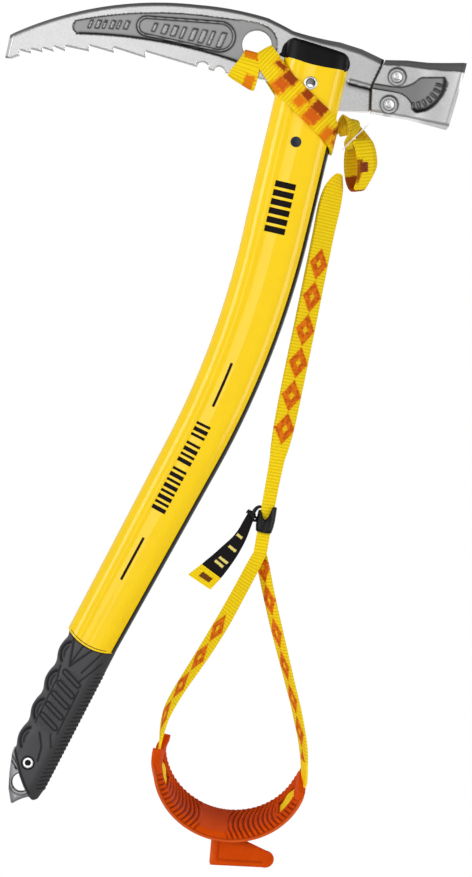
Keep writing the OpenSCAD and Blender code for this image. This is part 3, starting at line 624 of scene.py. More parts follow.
# ---------------------------------------------------------------- hammer
BOLTS, SEAT_R = [(55.6, -16.4), (53.6, -33)], 5.5
ham_left = [(43.9, -38.4), (42.3, -25.6), (43.1, -21.3), (46.9, -9)]
ham_top = [(47.3, -7.6), (60, -5.7), (72, -5), (94.3, -1.9)]
ham_face = [(94.3, -1.9), (89.7, -40.2)]
ham_low = [(89.7, -40.2), (79.5, -39.4), (66, -38.5), (43.9, -38.4)]
fan = ([(41, -22.2), (54, -22.2)] + arc3((58.9, -21.7), (64.8, -18.8), (68.3, -15.2), 8)
       + [(70, -14.2), (82.9, -12.4)] + arc3((85.3, -15.4), (82.6, -25.9), (75.1, -33.7), 14)
       + [(70.1, -35.4), (68.1, -34.8)] + arc3((66.3, -31), (62.7, -27.4), (58, -25.8), 8)
       + [(54, -25.6), (41, -25.6)])
# fan_dark: the fan's right and lower edge, where its wall is widest and its painted shade deepest
fan_dark = arc3((84.4, -13.2), (82.6, -25.9), (75.1, -33.7), 14) + [(70.1, -35.4), (68.1, -34.8)]
# plain strokes along the fan's arc
fan_marks = []
for i in range(7):
    a = rad(-8 - i * 11.5)
    out, side = np.array([math.cos(a), math.sin(a)]), np.array([-math.sin(a), math.cos(a)])
    c = np.array([63.5, -15]) + 17 * out
    corners = (-1.8, -0.65), (1.8, -0.65), (1.8, 0.65), (-1.8, 0.65)
    fan_marks.append([tuple(c + out * u + side * v) for u, v in corners])


def hammer_half(p):
    x = p[:, 0]
    h = 7.5 + 5.5 * np.clip((x - 66) / 26, 0, 1) ** 2
    wide = np.interp(x, [46, 70, 94], [3.0, 4.0, 6.2])
    chamfer = np.clip(1 - seg_dist(p, ham_top) / wide, 0, 1)
    h -= np.interp(x, [46, 70, 94], [2.2, 3.0, 5.4]) * chamfer
    h -= edge_round(seg_dist(p, ham_low), 1.6)
    h -= 1.5 * np.clip(1 - seg_dist(p, ham_face) / 2.2, 0, 1)
    h -= edge_round(seg_dist(p, ham_left), 0.6)
    fd = signed(p, fan)
    dark_d = seg_dist(p, fan_dark)
    wall = np.where(dark_d < 1.8, smooth(fd, 0, 1.6), smooth(fd, 0, 0.6))
    bars = np.zeros(len(p))
    # line lays near-black painted shade round the fan, deepest along its right and lower wall, round the
    # marks, in the bolts' seats, along the seam on the left and below the top chamfer
    line = np.maximum(glow(fd - 0.3, 0.5) * 0.9, 1.3 * glow(dark_d - 1.2, 1.6) * (fd > 0))
    for m in fan_marks:
        d = signed(p, m)
        bars = np.maximum(bars, smooth(d, -0.1, 0.35))
        line = np.maximum(line, glow(d + 0.15, 0.5) * 0.95)
    h -= 0.85 * wall * (1 - 0.7 * bars)
    for b in BOLTS:
        d = np.linalg.norm(p - b, axis=1)
        h -= 2.4 * smooth(SEAT_R - d, 0, 0.9)
        line = np.maximum(line, np.maximum(0.6 * glow(d - SEAT_R, 0.4), 0.75 * glow(d - 3.2, 0.5)))
    line = np.maximum(line, smooth(0.5 - seg_dist(p, ham_left), 0, 0.5) * 0.8)
    line = np.maximum(line, glow(seg_dist(p, ham_top) - wide, 0.45) * 0.6)
    # painted shade: the flared right part and the top chamfer are darkened; the fan's floor is darker too
    flare = 0.35 * smooth(x, 70, 78) * (1 - wall)
    line = np.maximum(line, 0.22 * wall * (1 - bars))
    sunk = np.maximum(np.maximum(wall * 0.85, smooth(chamfer, 0, 0.9) * 0.75), flare)
    return h, {"sunk": sunk, "line": np.clip(line, 0, 1)}


hammer_lines = [(fan[1:-1], False)] + [(m, True) for m in fan_marks]
hammer_lines += [(around(b, r, 0, 350, 35), True) for b in BOLTS for r in (SEAT_R, 4.6)]
plate("hammer", ham_top + ham_low[:-1] + ham_left, [], hammer_half, "axe", m_steel, step=0.64,
      extra=hammer_lines, wall_rows=10, replaces=["hammer_head"], slot="hammer_steel", sharp=30)


# ---------------------------------------------------------------- turned pieces
def turned(name, centre, profile, body, mat, segs=48, hexed=(), **kw):
    """A piece turned about an axis along Y at centre. profile holds (radius, y) pairs; it is a
    closed ring if it keeps off the axis. The rows in hexed follow a hexagon."""
    rings = []
    for i, (r, y) in enumerate(profile):
        ring = []
        for k in range(segs):
            a = 360 * k / segs
            q = r * math.cos(rad(30)) / math.cos(rad((a + 30) % 60 - 30)) if i in hexed else r
            ring.append((centre[0] + q * math.cos(rad(a)), y, centre[1] + q * math.sin(rad(a))))
        rings.append(ring)
    if profile[0][0] > 0:
        verts, faces = [p for r in rings for p in r], torus_faces(len(profile), segs)
    else:
        verts, faces = tube_mesh(rings[1:-1])
        verts[-2], verts[-1] = rings[0][0], rings[-1][0]
    return add_mesh(name, verts, faces, body, mat, **kw)


bolt_profile = [(0, -5.6), (1.5, -5.6), (1.6, -7.05), (1.9, -7.3), (2.7, -7.3), (3.0, -7.0), (3.05, -5.0),
                (2.0, -4.9), (2.0, 6.7), (1.7, 7.1), (0, 7.1)]
nut_profile = [(2.05, 5.0), (3.3, 5.0), (3.4, 5.3), (3.4, 6.9), (3.15, 7.2), (2.3, 7.2), (2.05, 7.0)]
for i, b in enumerate(BOLTS):
    turned(f"bolt_{i}", b, bolt_profile, "axe", m_bright, hexed=(1, 2), slot="fastener",
           replaces=[] if i else ["hammer_bolts"])
    turned(f"nut_{i}", b, nut_profile, "axe", m_bright, hexed=(1, 2, 3, 4), slot="fastener",
           replaces=[] if i else ["hammer_nuts"])
flange = [(2.6, -11.1), (2.8, -11.5), (3.3, -11.62), (3.75, -11.4), (3.85, -11.0), (3.0, -10.9)]
turned("head_ring", RIVET, flange + [(r, -y) for r, y in flange[::-1]], "axe", m_bright,
       replaces=["head_rivet"], slot="fastener")
# a near-black lining in the rivet's bore: painted shade inside the hole
turned("ring_bore", RIVET, [(2.62, -11), (2.62, 11), (2.5, 11), (2.5, -11)], "axe", m_print, slot="fastener")
pin_end = [(0, -11.05), (1.6, -11.08), (2.4, -11.25), (2.9, -11.25), (3.1, -11.05)]
turned("dark_pin", PIN, pin_end + [(r, -y) for r, y in pin_end[::-1]], "axe", m_dark, replaces=["head_pin"],
       slot="dark_pin")


# ---------------------------------------------------------------- shaft
LEAN, LEAN_LOW, BEND_R = 4, 19, 510
# places down the shaft: where it bends, where the grip and the strip start, and the tube's ends
S_BEND, S_GRIP, S_STRIP, S_TOP, S_FOOT = 104, 358, 42, 20, 360
TOP_W, LOW_W, TOP_HALF_T, WALL, FOOT_R = 38.4, 31, 11, 1.6, 32
S_LOW = S_BEND + BEND_R * rad(LEAN_LOW - LEAN)
top_mid = np.array([8.0, -17.0])


def run(p, a, l):
    return p + l * np.array([-math.sin(rad(a)), -math.cos(rad(a))])


def bend_at(a):
    turn = [math.cos(rad(a)) - math.cos(rad(LEAN)), math.sin(rad(LEAN)) - math.sin(rad(a))]
    return run(top_mid, LEAN, S_BEND) + BEND_R * np.array(turn)


def lean_at(s):
    return min(LEAN_LOW, LEAN + max(0.0, math.degrees((s - S_BEND) / BEND_R)))


def mid_at(s):
    if s <= S_BEND:
        return run(top_mid, LEAN, s)
    return bend_at(lean_at(s)) if s < S_LOW else run(bend_at(LEAN_LOW), LEAN_LOW, s - S_LOW)


def taper(s):
    return min(1, max(0, (s - S_BEND) / (S_GRIP - S_BEND)))


def half_w(s):
    return (TOP_W + (LOW_W - TOP_W) * taper(s)) / 2


def half_t(s):
    return TOP_HALF_T - taper(s)


def at_shaft(s, p, y):
    m, a = mid_at(s), rad(lean_at(s))
    return np.array([m[0] + p * math.cos(a), y, m[1] - p * math.sin(a)])


def section(s, grow=0.0):
    """The tube's section as (p, y) pairs, round from the rear edge. A shallow flute runs down
    both faces, just in front of the middle."""
    b = half_t(s) + grow
    f = half_w(s) - half_t(s)
    quarter = [(f + b * math.cos(rad(t)), b * math.sin(rad(t))) for t in np.linspace(0, 90, 14)]
    flat = [(p, b) for p in np.linspace(f, -f, 26)[1:-1]]
    upper = quarter + flat + [(-p, y) for p, y in quarter[::-1]]
    ring = upper + [(p, -y) for p, y in upper[::-1][1:-1]]
    k = half_w(s) / (TOP_W / 2)
    out = []
    for p, y in ring:
        fall = np.interp(p / k, [-11, -8.2, -6.4, -3, 0.6], [0, 0.12, 0.5, 0.3, 0])
        out.append((p, y - math.copysign(float(fall), y) if abs(y) > 4 else y))
    return out


def rim_z(x):
    """Height of the tube's curved top edge at x."""
    (xa, za), zm, (xb, zb) = (-14.5, -13.8), -18, (29.5, -17.3)
    t = (x - xa) / (xb - xa)
    return za * (1 - t) * (1 - 2 * t) + zm * 4 * t * (1 - t) + zb * t * (2 * t - 1)


def start_s(p):
    return (-17 - p * math.sin(rad(LEAN)) - rim_z(8 + p)) / math.cos(rad(LEAN))


def end_s(p):
    """Where the tube ends, in a round edge, at p across it."""
    return S_GRIP + 7.4 - FOOT_R + math.sqrt(max(0.0, FOOT_R ** 2 - p * p))


tube_rows, verts, uvs = 130, [], []
ring_n = len(section(50))
first, last = section(S_TOP), section(S_FOOT)
for grow in (0.0, -WALL):
    for i in range(tube_rows):
        f = i / (tube_rows - 1)
        here = section(S_TOP + (S_FOOT - S_TOP) * f, grow)
        for k in range(ring_n):
            s = start_s(first[k][0]) * (1 - f) + end_s(last[k][0]) * f
            verts.append(at_shaft(s, *here[k]))
            uvs.append((here[k][0], s))
skin_n = tube_rows * ring_n
faces = grid_faces(tube_rows, ring_n) + grid_faces(tube_rows, ring_n, start=skin_n, flip=True)
for k in range(ring_n):
    b = (k + 1) % ring_n
    o = (tube_rows - 1) * ring_n
    faces += [(k, skin_n + k, skin_n + b, b), (o + k, o + b, skin_n + o + b, skin_n + o + k)]
shaft = add_mesh("shaft", verts, faces, "axe", m_yellow, uvs=uvs, replaces=["shaft_tube"],
                 slot="shaft_yellow", sharp=30)


def drill(ob, centre, r):
    """Bores a hole along Y right through a piece."""
    bore = [[(centre[0] + r * math.cos(a), y, centre[1] + r * math.sin(a))
             for a in np.linspace(0, 2 * math.pi, 40, endpoint=False)] for y in (-30, 30)]
    v, f = tube_mesh(bore)
    me = bpy.data.meshes.new("drill")
    me.from_pydata([tuple(np.array(p) * MM) for p in v], [], fix_out(v, f))
    tool = bpy.data.objects.new("drill", me)
    scene.collection.objects.link(tool)
    mod = ob.modifiers.new("bore", "BOOLEAN")
    mod.operation, mod.object, mod.solver = "DIFFERENCE", tool, "EXACT"
    dg = bpy.context.evaluated_depsgraph_get()
    new = bpy.data.meshes.new_from_object(ob.evaluated_get(dg))
    ob.modifiers.clear()
    ob.data = new
    ob.data.set_sharp_from_angle(angle=rad(30))
    bpy.data.objects.remove(tool)


drill(shaft, RIVET, 3.0)


def face_y(s, p):
    """Y of the tube's front face at p across it."""
    front = sorted(q for q in section(s) if q[1] < 0.01)
    return float(np.interp(p, [q[0] for q in front], [q[1] for q in front]))


def printed(name, quads, lift=0.08):
    """Thin printed shapes on the tube's front; each has four (s, p) corners."""
    verts, faces, n = [], [], 5
    for q in quads:
        base = len(verts)
        for depth in (-lift, lift):
            for i in range(n + 1):
                for j in range(n + 1):
                    a, b = i / n, j / n
                    lo = np.array(q[0]) * (1 - a) + np.array(q[1]) * a
                    hi = np.array(q[3]) * (1 - a) + np.array(q[2]) * a
                    s, p = lo * (1 - b) + hi * b
                    verts.append(at_shaft(s, p, face_y(s, p) + depth))
        m = (n + 1) ** 2
        part = grid_faces(n + 1, n + 1, wrap=False, start=base)
        part += [tuple(x + m for x in f[::-1]) for f in part]
        rim = list(range(n)) + [n + i * (n + 1) for i in range(n)]
        rim += [m - 1 - i for i in range(n)] + [(n - i) * (n + 1) for i in range(n)]
        for k in range(len(rim)):
            a, b = base + rim[k], base + rim[(k + 1) % len(rim)]
            part.append((b, a, a + m, b + m))
        faces += fix_out(verts, part)
    return add_mesh(name, verts, faces, "axe", m_print, slot="black_plastic")


def bar(s, p, ds, dp):
    return [(s, p), (s, p + dp), (s + ds, p + dp), (s + ds, p)]


# plain blocks and bars stand where the maker's words are
printed("print_top", [bar(71 + i * 5.3, -7.1, 3.6, 12.1) for i in range(6)])
words = []
s0 = 219.5
for count in (3, 4, 8):
    for i in range(count):
        words.append(bar(s0, -6.2, 2.5 if i % 2 else 1.6, 8.7))
        s0 += 4.0 if i % 2 else 3.2
    s0 += 2.4
printed("print_low", words)
# a fine dark line just above the tube's lower edge
hem = [[(end_s(p) - 1.5, p), (end_s(p + 1.5) - 1.5, p + 1.5),
        (end_s(p + 1.5) - 1.1, p + 1.5), (end_s(p) - 1.1, p)] for p in np.arange(-13.5, 10.4, 1.5)]
printed("print_hem", hem, 0.05)
printed("print_bars", [bar(s0 + i * 4.6, -2.4, 4.6, 1.5) for s0 in (180.5, 294) for i in range(6)])


# ---------------------------------------------------------------- rear strip and cap
def strip_profile(s, k):
    """k from 0 to 1 round the strip: over its face, then back through the tube's wall."""
    b = half_t(s) + 0.12
    f = half_w(s) - half_t(s)
    lim = math.degrees(math.acos((b - 2.5) / b))
    if k < 0.66:
        t = lim * (1 - 2 * k / 0.66)
        return f + b * math.cos(rad(t)), b * math.sin(rad(t))
    t = lim * (-1 + 2 * (k - 0.66) / 0.34)
    return f + b * math.cos(rad(lim)) - 0.9, b * math.sin(rad(t)) * 0.96


strip_rings = []
for i in range(110):
    s = S_STRIP + (end_s(14.5) - S_STRIP) * i / 109
    ring = [strip_profile(s, k / 28) for k in range(28)]
    # its upper end is rounded off
    near_end = min(1.0, 0.15 + (s - S_STRIP) / 3.5)
    strip_rings.append([at_shaft(s, p, y * min(1, math.sqrt(near_end))) for p, y in ring])
verts, faces = tube_mesh(strip_rings)
add_mesh("rear_stripe", verts, faces, "axe", m_black, replaces=["rear_strip"], slot="black_plastic")

# the cap's cheeks bulge a little out of the tube's mouth
cap_low = arc3((-14.2, -14.4), (6, -18.4), (25.4, -18.4), 16)
cap_end = arc3((26.7, -17.2), (27.5, -13), (23.2, -7.8), 8)
cap_tip = arc3((-7.0, -3.6), (-11.6, -6.8), (-13.0, -12.2), 10)
cap_outline = cap_low + cap_end + cap_tip
cap_face = cap_end + cap_tip
CHEEK_IN, CHEEK_MID = 2.65, 6.8


def cap_half(p):
    d = signed(p, cap_outline)
    h = np.full(len(p), 4.1)
    return h - edge_round(seg_dist(p, cap_face), 2.2) + 0.25 * smooth(d, 0, 4), {}


for way, side_name in ((-1, "front"), (1, "back")):
    def cheek(v, way=way):
        """Bends the cheek to the tube's rounded edges."""
        v = v.copy()
        p = v[:, 0] - 8
        limit = 2.7 + 7.8 * np.sqrt(1 - np.clip((np.abs(p) - 7) / 11.6, 0, 1) ** 2)
        off = (v[:, 1] - way * CHEEK_MID) / 4.2
        thick = np.clip(limit, CHEEK_IN + 0.4, 11) - CHEEK_IN
        v[:, 1] = way * (CHEEK_IN + thick * (0.5 + 0.5 * way * off))
        return v
    plate(f"cap_{side_name}_cheek", cap_outline, [], cap_half, "axe", m_cap, step=0.8, to3=cheek,
          mid_y=way * CHEEK_MID, wall_rows=6, replaces=[f"cap_{side_name}"], slot="black_plastic", sharp=60)


# ---------------------------------------------------------------- grip and spike
def grip_ridge(t):
    return 0.6 * math.cos(2 * math.pi * (t - 16.2) / 18.3) * min(1, max(0, (90 - t) / 10))


def grip_left(t):
    return 14.3 - 0.055 * t + grip_ridge(t)


def grip_right(t):
    return 15.6 + 0.016 * t


def grip_b(t):
    return 10.4 - ((t - 88) ** 2 / 60 if t > 88 else 0)


def grip_low(p):
    """Where the grip ends, below its top edge, at p across it."""
    across = [-16, -8.6, -4, 0.5, 5.5, 10.6, 13.6, 15, 16.2, 17, 18]
    down = [76.6, 82, 86.6, 91.4, 96, 99.8, 101, 100.4, 99, 93, 91]
    return float(np.interp(p, across, down))


RIVET_LOW = (1.4, 82.6)
arc_set = (15.4, 33.7, 52.0, 70.3)
chevrons = [([(-10, 5), (-4, 22), (3, 8)], 0.55), ([(-2.2, 6), (-4.2, 20)], 0.4), ([(9.5, 6), (4, 22)], 0.45),
            ([(12, 12), (5, 28)], 0.4), ([(-1, 64), (4, 71), (5.8, 79)], 0.5), ([(5, 62), (9.2, 69)], 0.4),
            ([(-9, 24), (-7.6, 30)], 0.4), ([(7.5, 32), (8.4, 60)], 0.4), ([(-7.2, 30), (-6.2, 60)], 0.35)]
ladder = [([(-4.6, 26 + 7 * i), (5.6, 29.4 + 7 * i)], 0.75) for i in range(5)]


def relief(p, t):
    """Height of the rubber's pattern on the two faces, as numbers for arrays p and t, and how dark it is:
    painted shade in the hollows, along the lower edge and in the rivet's seat, and a darker band towards the
    rear.
    """
    q = np.column_stack([p, t])
    h = np.zeros(len(p))
    dark = np.zeros(len(p))
    inward = p + 14.3 - 0.055 * t
    for c in arc_set:
        d = np.hypot(inward - 6.4, (t - c) * 0.82)
        left = smooth(4.8 - inward, 0, 1.4)
        for r, depth in ((5.6, 1.0), (3.6, 0.6)):
            g = glow(d - r, 0.75) * left * depth
            h -= 0.8 * g
            dark = np.maximum(dark, g)
        h += (0.5 * glow(d - 4.6, 0.7) + 0.6 * glow(d - 6.9, 1.0)) * left
    for line, w in chevrons:
        g = glow(seg_dist(q, line), w * 1.25)
        h -= 0.6 * g
        dark = np.maximum(dark, 0.75 * g)
    for line, w in ladder:
        d = seg_dist(q, line)
        h += 0.7 * glow(d, w)
        dark = np.maximum(dark, 0.85 * glow(d - 1.35, 0.6))
    panel = (np.abs(p - 0.5) < 6.4) & (t > 24) & (t < 62)
    clear = np.min([seg_dist(q, line) for line, w in ladder], axis=0) > 1.6
    dots = np.clip(np.sin(p * 2 * math.pi / 1.7) * np.sin(t * 2 * math.pi / 1.9) - 0.35, 0, 1)
    h -= 0.5 * dots * panel * clear
    dark = np.maximum(dark, 1.6 * dots * panel * clear)
    tooth = np.abs(np.sin(math.pi * (t + 0.6 * p) / 2.6))
    edge = smooth(p, 10.6, 12.6) * smooth(t, 14, 20) * (t < 94)
    h += edge * (0.55 * tooth - 0.15)
    dark = np.maximum(dark, edge * np.maximum(0.85 * smooth(0.6 - tooth, 0, 0.35), 0.35))
    dark = np.maximum(dark, 0.32 * smooth(p, 6.5, 11))
    low_edge_d = seg_dist(q, [(-12, 77), (-8.6, 80.5), (-4, 85), (0.5, 89.8), (5.5, 94.4), (10.6, 98.2)])
    dark = np.maximum(dark, glow(low_edge_d, 0.6) * 0.9)
    d = np.hypot(p - RIVET_LOW[0], t - RIVET_LOW[1])
    h -= 0.9 * smooth(4.1 - d, 0, 0.5)
    dark = np.maximum(dark, smooth(4.3 - d, 0, 0.5))
    return h, np.clip(dark, 0, 1)


grip_rows, arc_k, flat_k = 190, 30, 18
quarter = [(1, math.cos(a), math.sin(a)) for a in np.linspace(0, math.pi / 2, arc_k)]
flat = [(1 - 2 * k / (flat_k + 1), 0, 1) for k in range(1, flat_k + 1)]
half_ring = quarter + flat + [(-s, -c, y) for s, c, y in quarter[::-1]]
grip_ring = half_ring + [(s, c, -y) for s, c, y in half_ring[::-1][1:-1]]
verts, pat, nrm = [], [], []
for i in range(grip_rows):
    f = i / (grip_rows - 1)
    for side, c, y in grip_ring:
        t = 92 * f
        for _ in range(3):
            b = grip_b(t)
            fr, fl = grip_right(t) - b, b - grip_left(t)
            p = (fr if side > 0 else fl) + b * c if abs(side) == 1 else fl + (fr - fl) * (side + 1) / 2
            t0 = 7.5 - FOOT_R + math.sqrt(max(0, (FOOT_R + 0.1) ** 2 - p * p))
            t = t0 * (1 - f) + grip_low(p) * f
        thick = 1 - 0.12 * max(0.0, 1 - (t - t0) / 1.2) ** 2
        verts.append((p, b * y * thick, t))
        nrm.append((c, y))
        pat.append((p, t))
pat, v, nrm = np.array(pat), np.array(verts), np.array(nrm)
# dark holds the pattern's painted shade and a darker band towards the rear
lift, dark = relief(pat[:, 0], pat[:, 1])
lift = lift * smooth(pat[:, 1] - 4, 0, 2) + 0.8 * smooth(-pat[:, 0] - 9, 0, 3) * smooth(9 - pat[:, 1], 0, 7)
v[:, 0] += lift * nrm[:, 0]
v[:, 1] += lift * nrm[:, 1]
grip_v = [at_shaft(S_GRIP + t, p, y) for p, y, t in v]
ring_g = len(grip_ring)
faces = grid_faces(grip_rows, ring_g)
for row, flip in ((0, True), (grip_rows - 1, False)):
    o = row * ring_g
    for k in range(ring_g // 2):
        a, b = o + k, o + (k + 1) % ring_g
        c, d = o + (ring_g - k - 1) % ring_g, o + (ring_g - k) % ring_g
        q = [x for i, x in enumerate((a, b, c, d)) if x not in (a, b, c, d)[:i]]
        if len(q) > 2:
            faces.append(tuple(q if flip else q[::-1]))
add_mesh("grip", grip_v, faces, "axe", m_rubber, attrs={"line": dark}, replaces=["grip_sleeve"],
         slot="grip_rubber", sharp=60)

spike_edge = [(-10.2, 80), (-9.7, 83), (-5.6, 94), (-1.6, 102.5), (3.6, 109.2), (4.6, 109)]
spike_low = arc3((4.6, 109), (8.4, 103.6), (13, 99.8), 10)
spike_outline = [(x, -t) for x, t in spike_edge + spike_low[1:] + [(13, 90), (9, 76), (-5, 76), (-8.4, 77.4)]]
EYE, EYE_R = (3.2, -95.6), 5.3


def spike_half(p):
    h = np.full(len(p), 2.0)
    left = [(x, -t) for x, t in spike_edge]
    low = [(x, -t) for x, t in spike_low]
    h -= 1.1 * np.clip(1 - seg_dist(p, left) / 2.2, 0, 1)
    h -= 0.9 * np.clip(1 - seg_dist(p, low) / 1.8, 0, 1)
    d = np.linalg.norm(p - EYE, axis=1)
    h -= edge_round(np.maximum(d - EYE_R, 0), 0.7)
    cuts = [[(-9.4, -84.4), (-1, -88.6)], [(-8.4, -87), (-2.6, -90)]]
    # painted shade: near black round the eye, below it and in the cuts
    line = np.maximum(glow(d - 5.5, 0.4) * 0.7, np.exp(-((d - 7.3) / 0.45) ** 2) * (p[:, 1] < -97) * 0.9)
    for c in cuts:
        g = glow(seg_dist(p, c), 0.45)
        h -= 0.5 * g
        line = np.maximum(line, g)
    # painted shade on the bevels, where the blade thins
    return h, {"sunk": smooth(2.0 - h, 0, 0.6) * 0.6, "line": line}


def spike_place(v):
    return np.array([at_shaft(S_GRIP - t, p, y) for p, y, t in v])


plate("spike_blade", spike_outline, [around(EYE, EYE_R, 0, 350, 35)], spike_half, "axe", m_plain_steel,
      step=0.6, to3=spike_place, replaces=["spike"], slot="spike_steel", sharp=30)
low_c = at_shaft(S_GRIP + RIVET_LOW[1], RIVET_LOW[0], 0)
rim_half = [(1.35, -7), (1.4, -9.3), (1.75, -9.95), (2.5, -10.1), (3.0, -9.9), (3.2, -9.3), (3.1, -8.5),
            (2.1, -8.4)]
turned("grip_ring", (low_c[0], low_c[2]), rim_half + [(r, -y) for r, y in rim_half[::-1]], "axe", m_bright,
       replaces=["grip_rivet"], slot="fastener")


# ---------------------------------------------------------------- webbing
def ribbon(name, rows, body, mat, layers=1, rib=1.9, rib_h=0.05, **kw):
    """A flat strap. Each row is centre x, y, z, then the half width vector, then the outward
    direction of its face, then its half thickness. Layers of webbing show as grooves on its edges."""
    rows, along = rows
    n_across = 9
    sect = [(a, 1.0 - 0.25 * abs(a) ** 6) for a in (-1 + 2 * i / (n_across - 1) for i in range(n_across))]
    side = []
    for k in range(layers):
        top = 1 - 2 * k / layers
        bot = 1 - 2 * (k + 1) / layers
        side += [(1.0, top - 0.32 / layers, 1), (1.015, (top + bot) / 2, 1), (1.0, bot + 0.32 / layers, 1)]
        if k < layers - 1:
            side.append((0.955, bot, 1))
    ring = [(a, h, 0) for a, h in sect[1:-1]] + side + [(a, -h, 0) for a, h in sect[1:-1][::-1]]
    ring += [(-a, -h, s) for a, h, s in side]
    verts, uvs = [], []
    for r, s in zip(rows, along):
        c, w, o, t = r[:3], r[3:6], unit(r[6:9]), r[9]
        o = unit(o - w * (o @ w) / (w @ w))
        half = np.linalg.norm(w)
        bumpy = rib_h * math.sin(s * 2 * math.pi / rib)
        for a, h, edge in ring:
            face = (t + (0 if edge else bumpy)) * h
            verts.append(c + w * a + o * face)
            uvs.append((a * half, s))
    n = len(ring)
    m = len(rows)
    faces = grid_faces(m, n)
    verts += [rows[0][:3], rows[-1][:3]]
    uvs += [(0, along[0]), (0, along[-1])]
    faces += [(m * n, (k + 1) % n, k) for k in range(n)]
    faces += [(m * n + 1, (m - 1) * n + k, (m - 1) * n + (k + 1) % n) for k in range(n)]
    return add_mesh(name, verts, faces, body, mat, uvs=uvs, sharp=50, **kw)


def block(g, u, w, cu, cw, hu, hw, soft=0.9, lean=0.0, rag=4.5):
    """A woven patch: 1 inside the box centred on (cu, cw), with a ragged edge."""
    wig = g.mul(g.sub(g.noise(g.vec(u, w), 0.7, 4, 0.7), 0.5), rag)
    wu = g.add(g.sub(u, cu), g.mul(g.sub(w, cw), lean))
    du = g.sub(g.math("ABSOLUTE", wu), hu)
    dw = g.sub(g.math("ABSOLUTE", g.sub(w, cw)), hw)
    d = g.add(g.math("MAXIMUM", du, dw), wig)
    return g.step(d, soft / 2, -soft / 2)


def patched(g, col, u, w, box, strength, tone, **kw):
    """The colour col with one woven patch on it; box holds its middle and its half sizes."""
    return g.mix(g.mul(block(g, u, w, *box, **kw), strength), col, tone)


WEB_W, WEB_T = 14.5, 1.5
# Hanging strap: x, z, half width, half thickness, degrees face-on. It follows the CAD's route to
# within a millimetre, but is turned less face-on
hang = [
    (32, -77, 5, 1.4, 10),
    (30.9, -81, 6.8, 1.5, 26),
    (29.9, -87, 7.2, 1.5, 44),
    (29.1, -97, 7.2, 1.5, 56),
    (28.4, -112, 7.1, 1.5, 52),
    (27.7, -131, 6.9, 1.5, 55),
    (26.5, -165, 6.7, 1.5, 60),
    (25.1, -200, 6.6, 1.5, 64),
    (24.2, -226, 6.1, 1.7, 68),
    (23.6, -240, 5.1, 1.8, 78),
    (23.2, -249, 4.2, 2, 88),
    (22.6, -275, 3.8, 2, 90),
    (22.4, -302.6, 3.8, 2, 90),
]
hang_rows = []
for x, z, w, t, turn in hang:
    c, s = math.cos(rad(turn)), math.sin(rad(turn))
    hang_rows.append((x, 0, z, w * s, w * c, 0, c, -s, 0, t))
web_hang = webbing("webbing_hang", marks=(19.6, 44, 162))
strap_data = even(spline(hang_rows, 8), 0.9)
strap = ribbon("strap", strap_data, "leash", web_hang, layers=2, replaces=["leash_strap"], slot="webbing")

# Wrist loop. Its strands bow out from the CAD's straight route
cuff_mid = np.array([26, -5, -422.7])
cuff_r, cuff_tilt = 40.5, 17
cuff_from, cuff_to = 180, 352
slot_mid = cuff_r + 1.4 + 1.9 / 2
ct, st = math.cos(rad(cuff_tilt)), math.sin(rad(cuff_tilt))


def cuff_pt(r, t, w):
    """Radius, degrees round and place across the cuff, to a point."""
    c, s = math.cos(rad(t)), math.sin(rad(t))
    return cuff_mid + np.array([r * c, w * ct - r * s * st, w * st + r * s * ct])


across_cuff = np.array([0, ct, st])


def cuff_normal(t):
    return cuff_pt(1, t, 0) - cuff_mid


split = np.array([22.4, 0, -302.7])


# how far each strand bows sideways and how much of its half width shows, at places down it
STRAND_AT = (0, 0.2, 0.36, 0.52, 0.67, 0.77, 0.87, 1)
STRANDS = {-1: ((0, -0.3, -0.9, -2.6, -4.9, -6.0, -5.6, 0), (3.6, 3.5, 3.6, 3.1, 2.3, 2.0, 1.6, 0.6)),
           1: ((0.2, 0.5, 1.5, 2.8, 4.1, 4.3, 4.0, 0.6), (3.3, 3.1, 3.2, 2.9, 2.8, 2.7, 2.3, 1.4))}


def strand(side):
    """Rows of one strand, from the split down to the cuff's end."""
    end = cuff_pt(slot_mid, cuff_from if side < 0 else cuff_to, 0)
    start = split + np.array([0.2 * side, 1.1 * side, 0])
    rows = [(*start, 3.8, -1, 0, 0, -1, 0, WEB_T / 2)]
    lean = unit(end - start)
    for i in range(1, 13):
        k = i / 12
        bow, seen = (float(np.interp(k, STRAND_AT, b)) for b in STRANDS[side])
        c = start + (end - start) * k + np.array([bow, 0, 0])
        full = 4.4 + 2.85 * min(1, k * 2.4)
        unseen = math.sqrt(full ** 2 - seen ** 2)
        w = np.array([-lean[2], 0, lean[0]]) * seen + np.array([0, -1, -0.3 * k]) * unseen
        rows.append((*c, *(unit(w) * full), 0, 0, 0, WEB_T / 2))
    return rows


def loop_rows():
    left = strand(-1)
    right = strand(1)
    rows = left[:-1]
    for t in range(cuff_from, cuff_to, 4):
        # it comes up to the surface in each window
        rise = 1.7 * max(glow(t - 202, 6), glow(t - 331, 6))
        c = cuff_pt(slot_mid - rise, t, 0)
        rows.append((*c, *(across_cuff * WEB_W / 2), *cuff_normal(t), WEB_T / 2))
    rows += [right[-1]] + right[:-1][::-1]
    rows = np.array(rows)
    # half width vectors keep to one side, and the face's direction follows from them
    for i in range(1, len(rows)):
        if rows[i, 3:6] @ rows[i - 1, 3:6] < 0:
            rows[i, 3:6] *= -1
    dense = spline(rows, 8)
    tangent = np.gradient(dense[:, :3], axis=0)
    for row, ahead in zip(dense, tangent):
        row[6:9] = unit(np.cross(ahead, row[3:6]))
    return even(dense, 0.9)


loop_data = loop_rows()


def loop_shade(g, col, u, w):
    """Inside the cuff the webbing is plain."""
    return g.mix(block(g, u, w, 0, 194, 20, 74, rag=0), col, YELLOW)


web_loop = webbing("webbing_loop", marks=(19.6, 40, 388), shade=loop_shade)
loop = ribbon("loop_webbing", loop_data, "leash", web_loop, replaces=["wrist_loop"], slot="webbing")


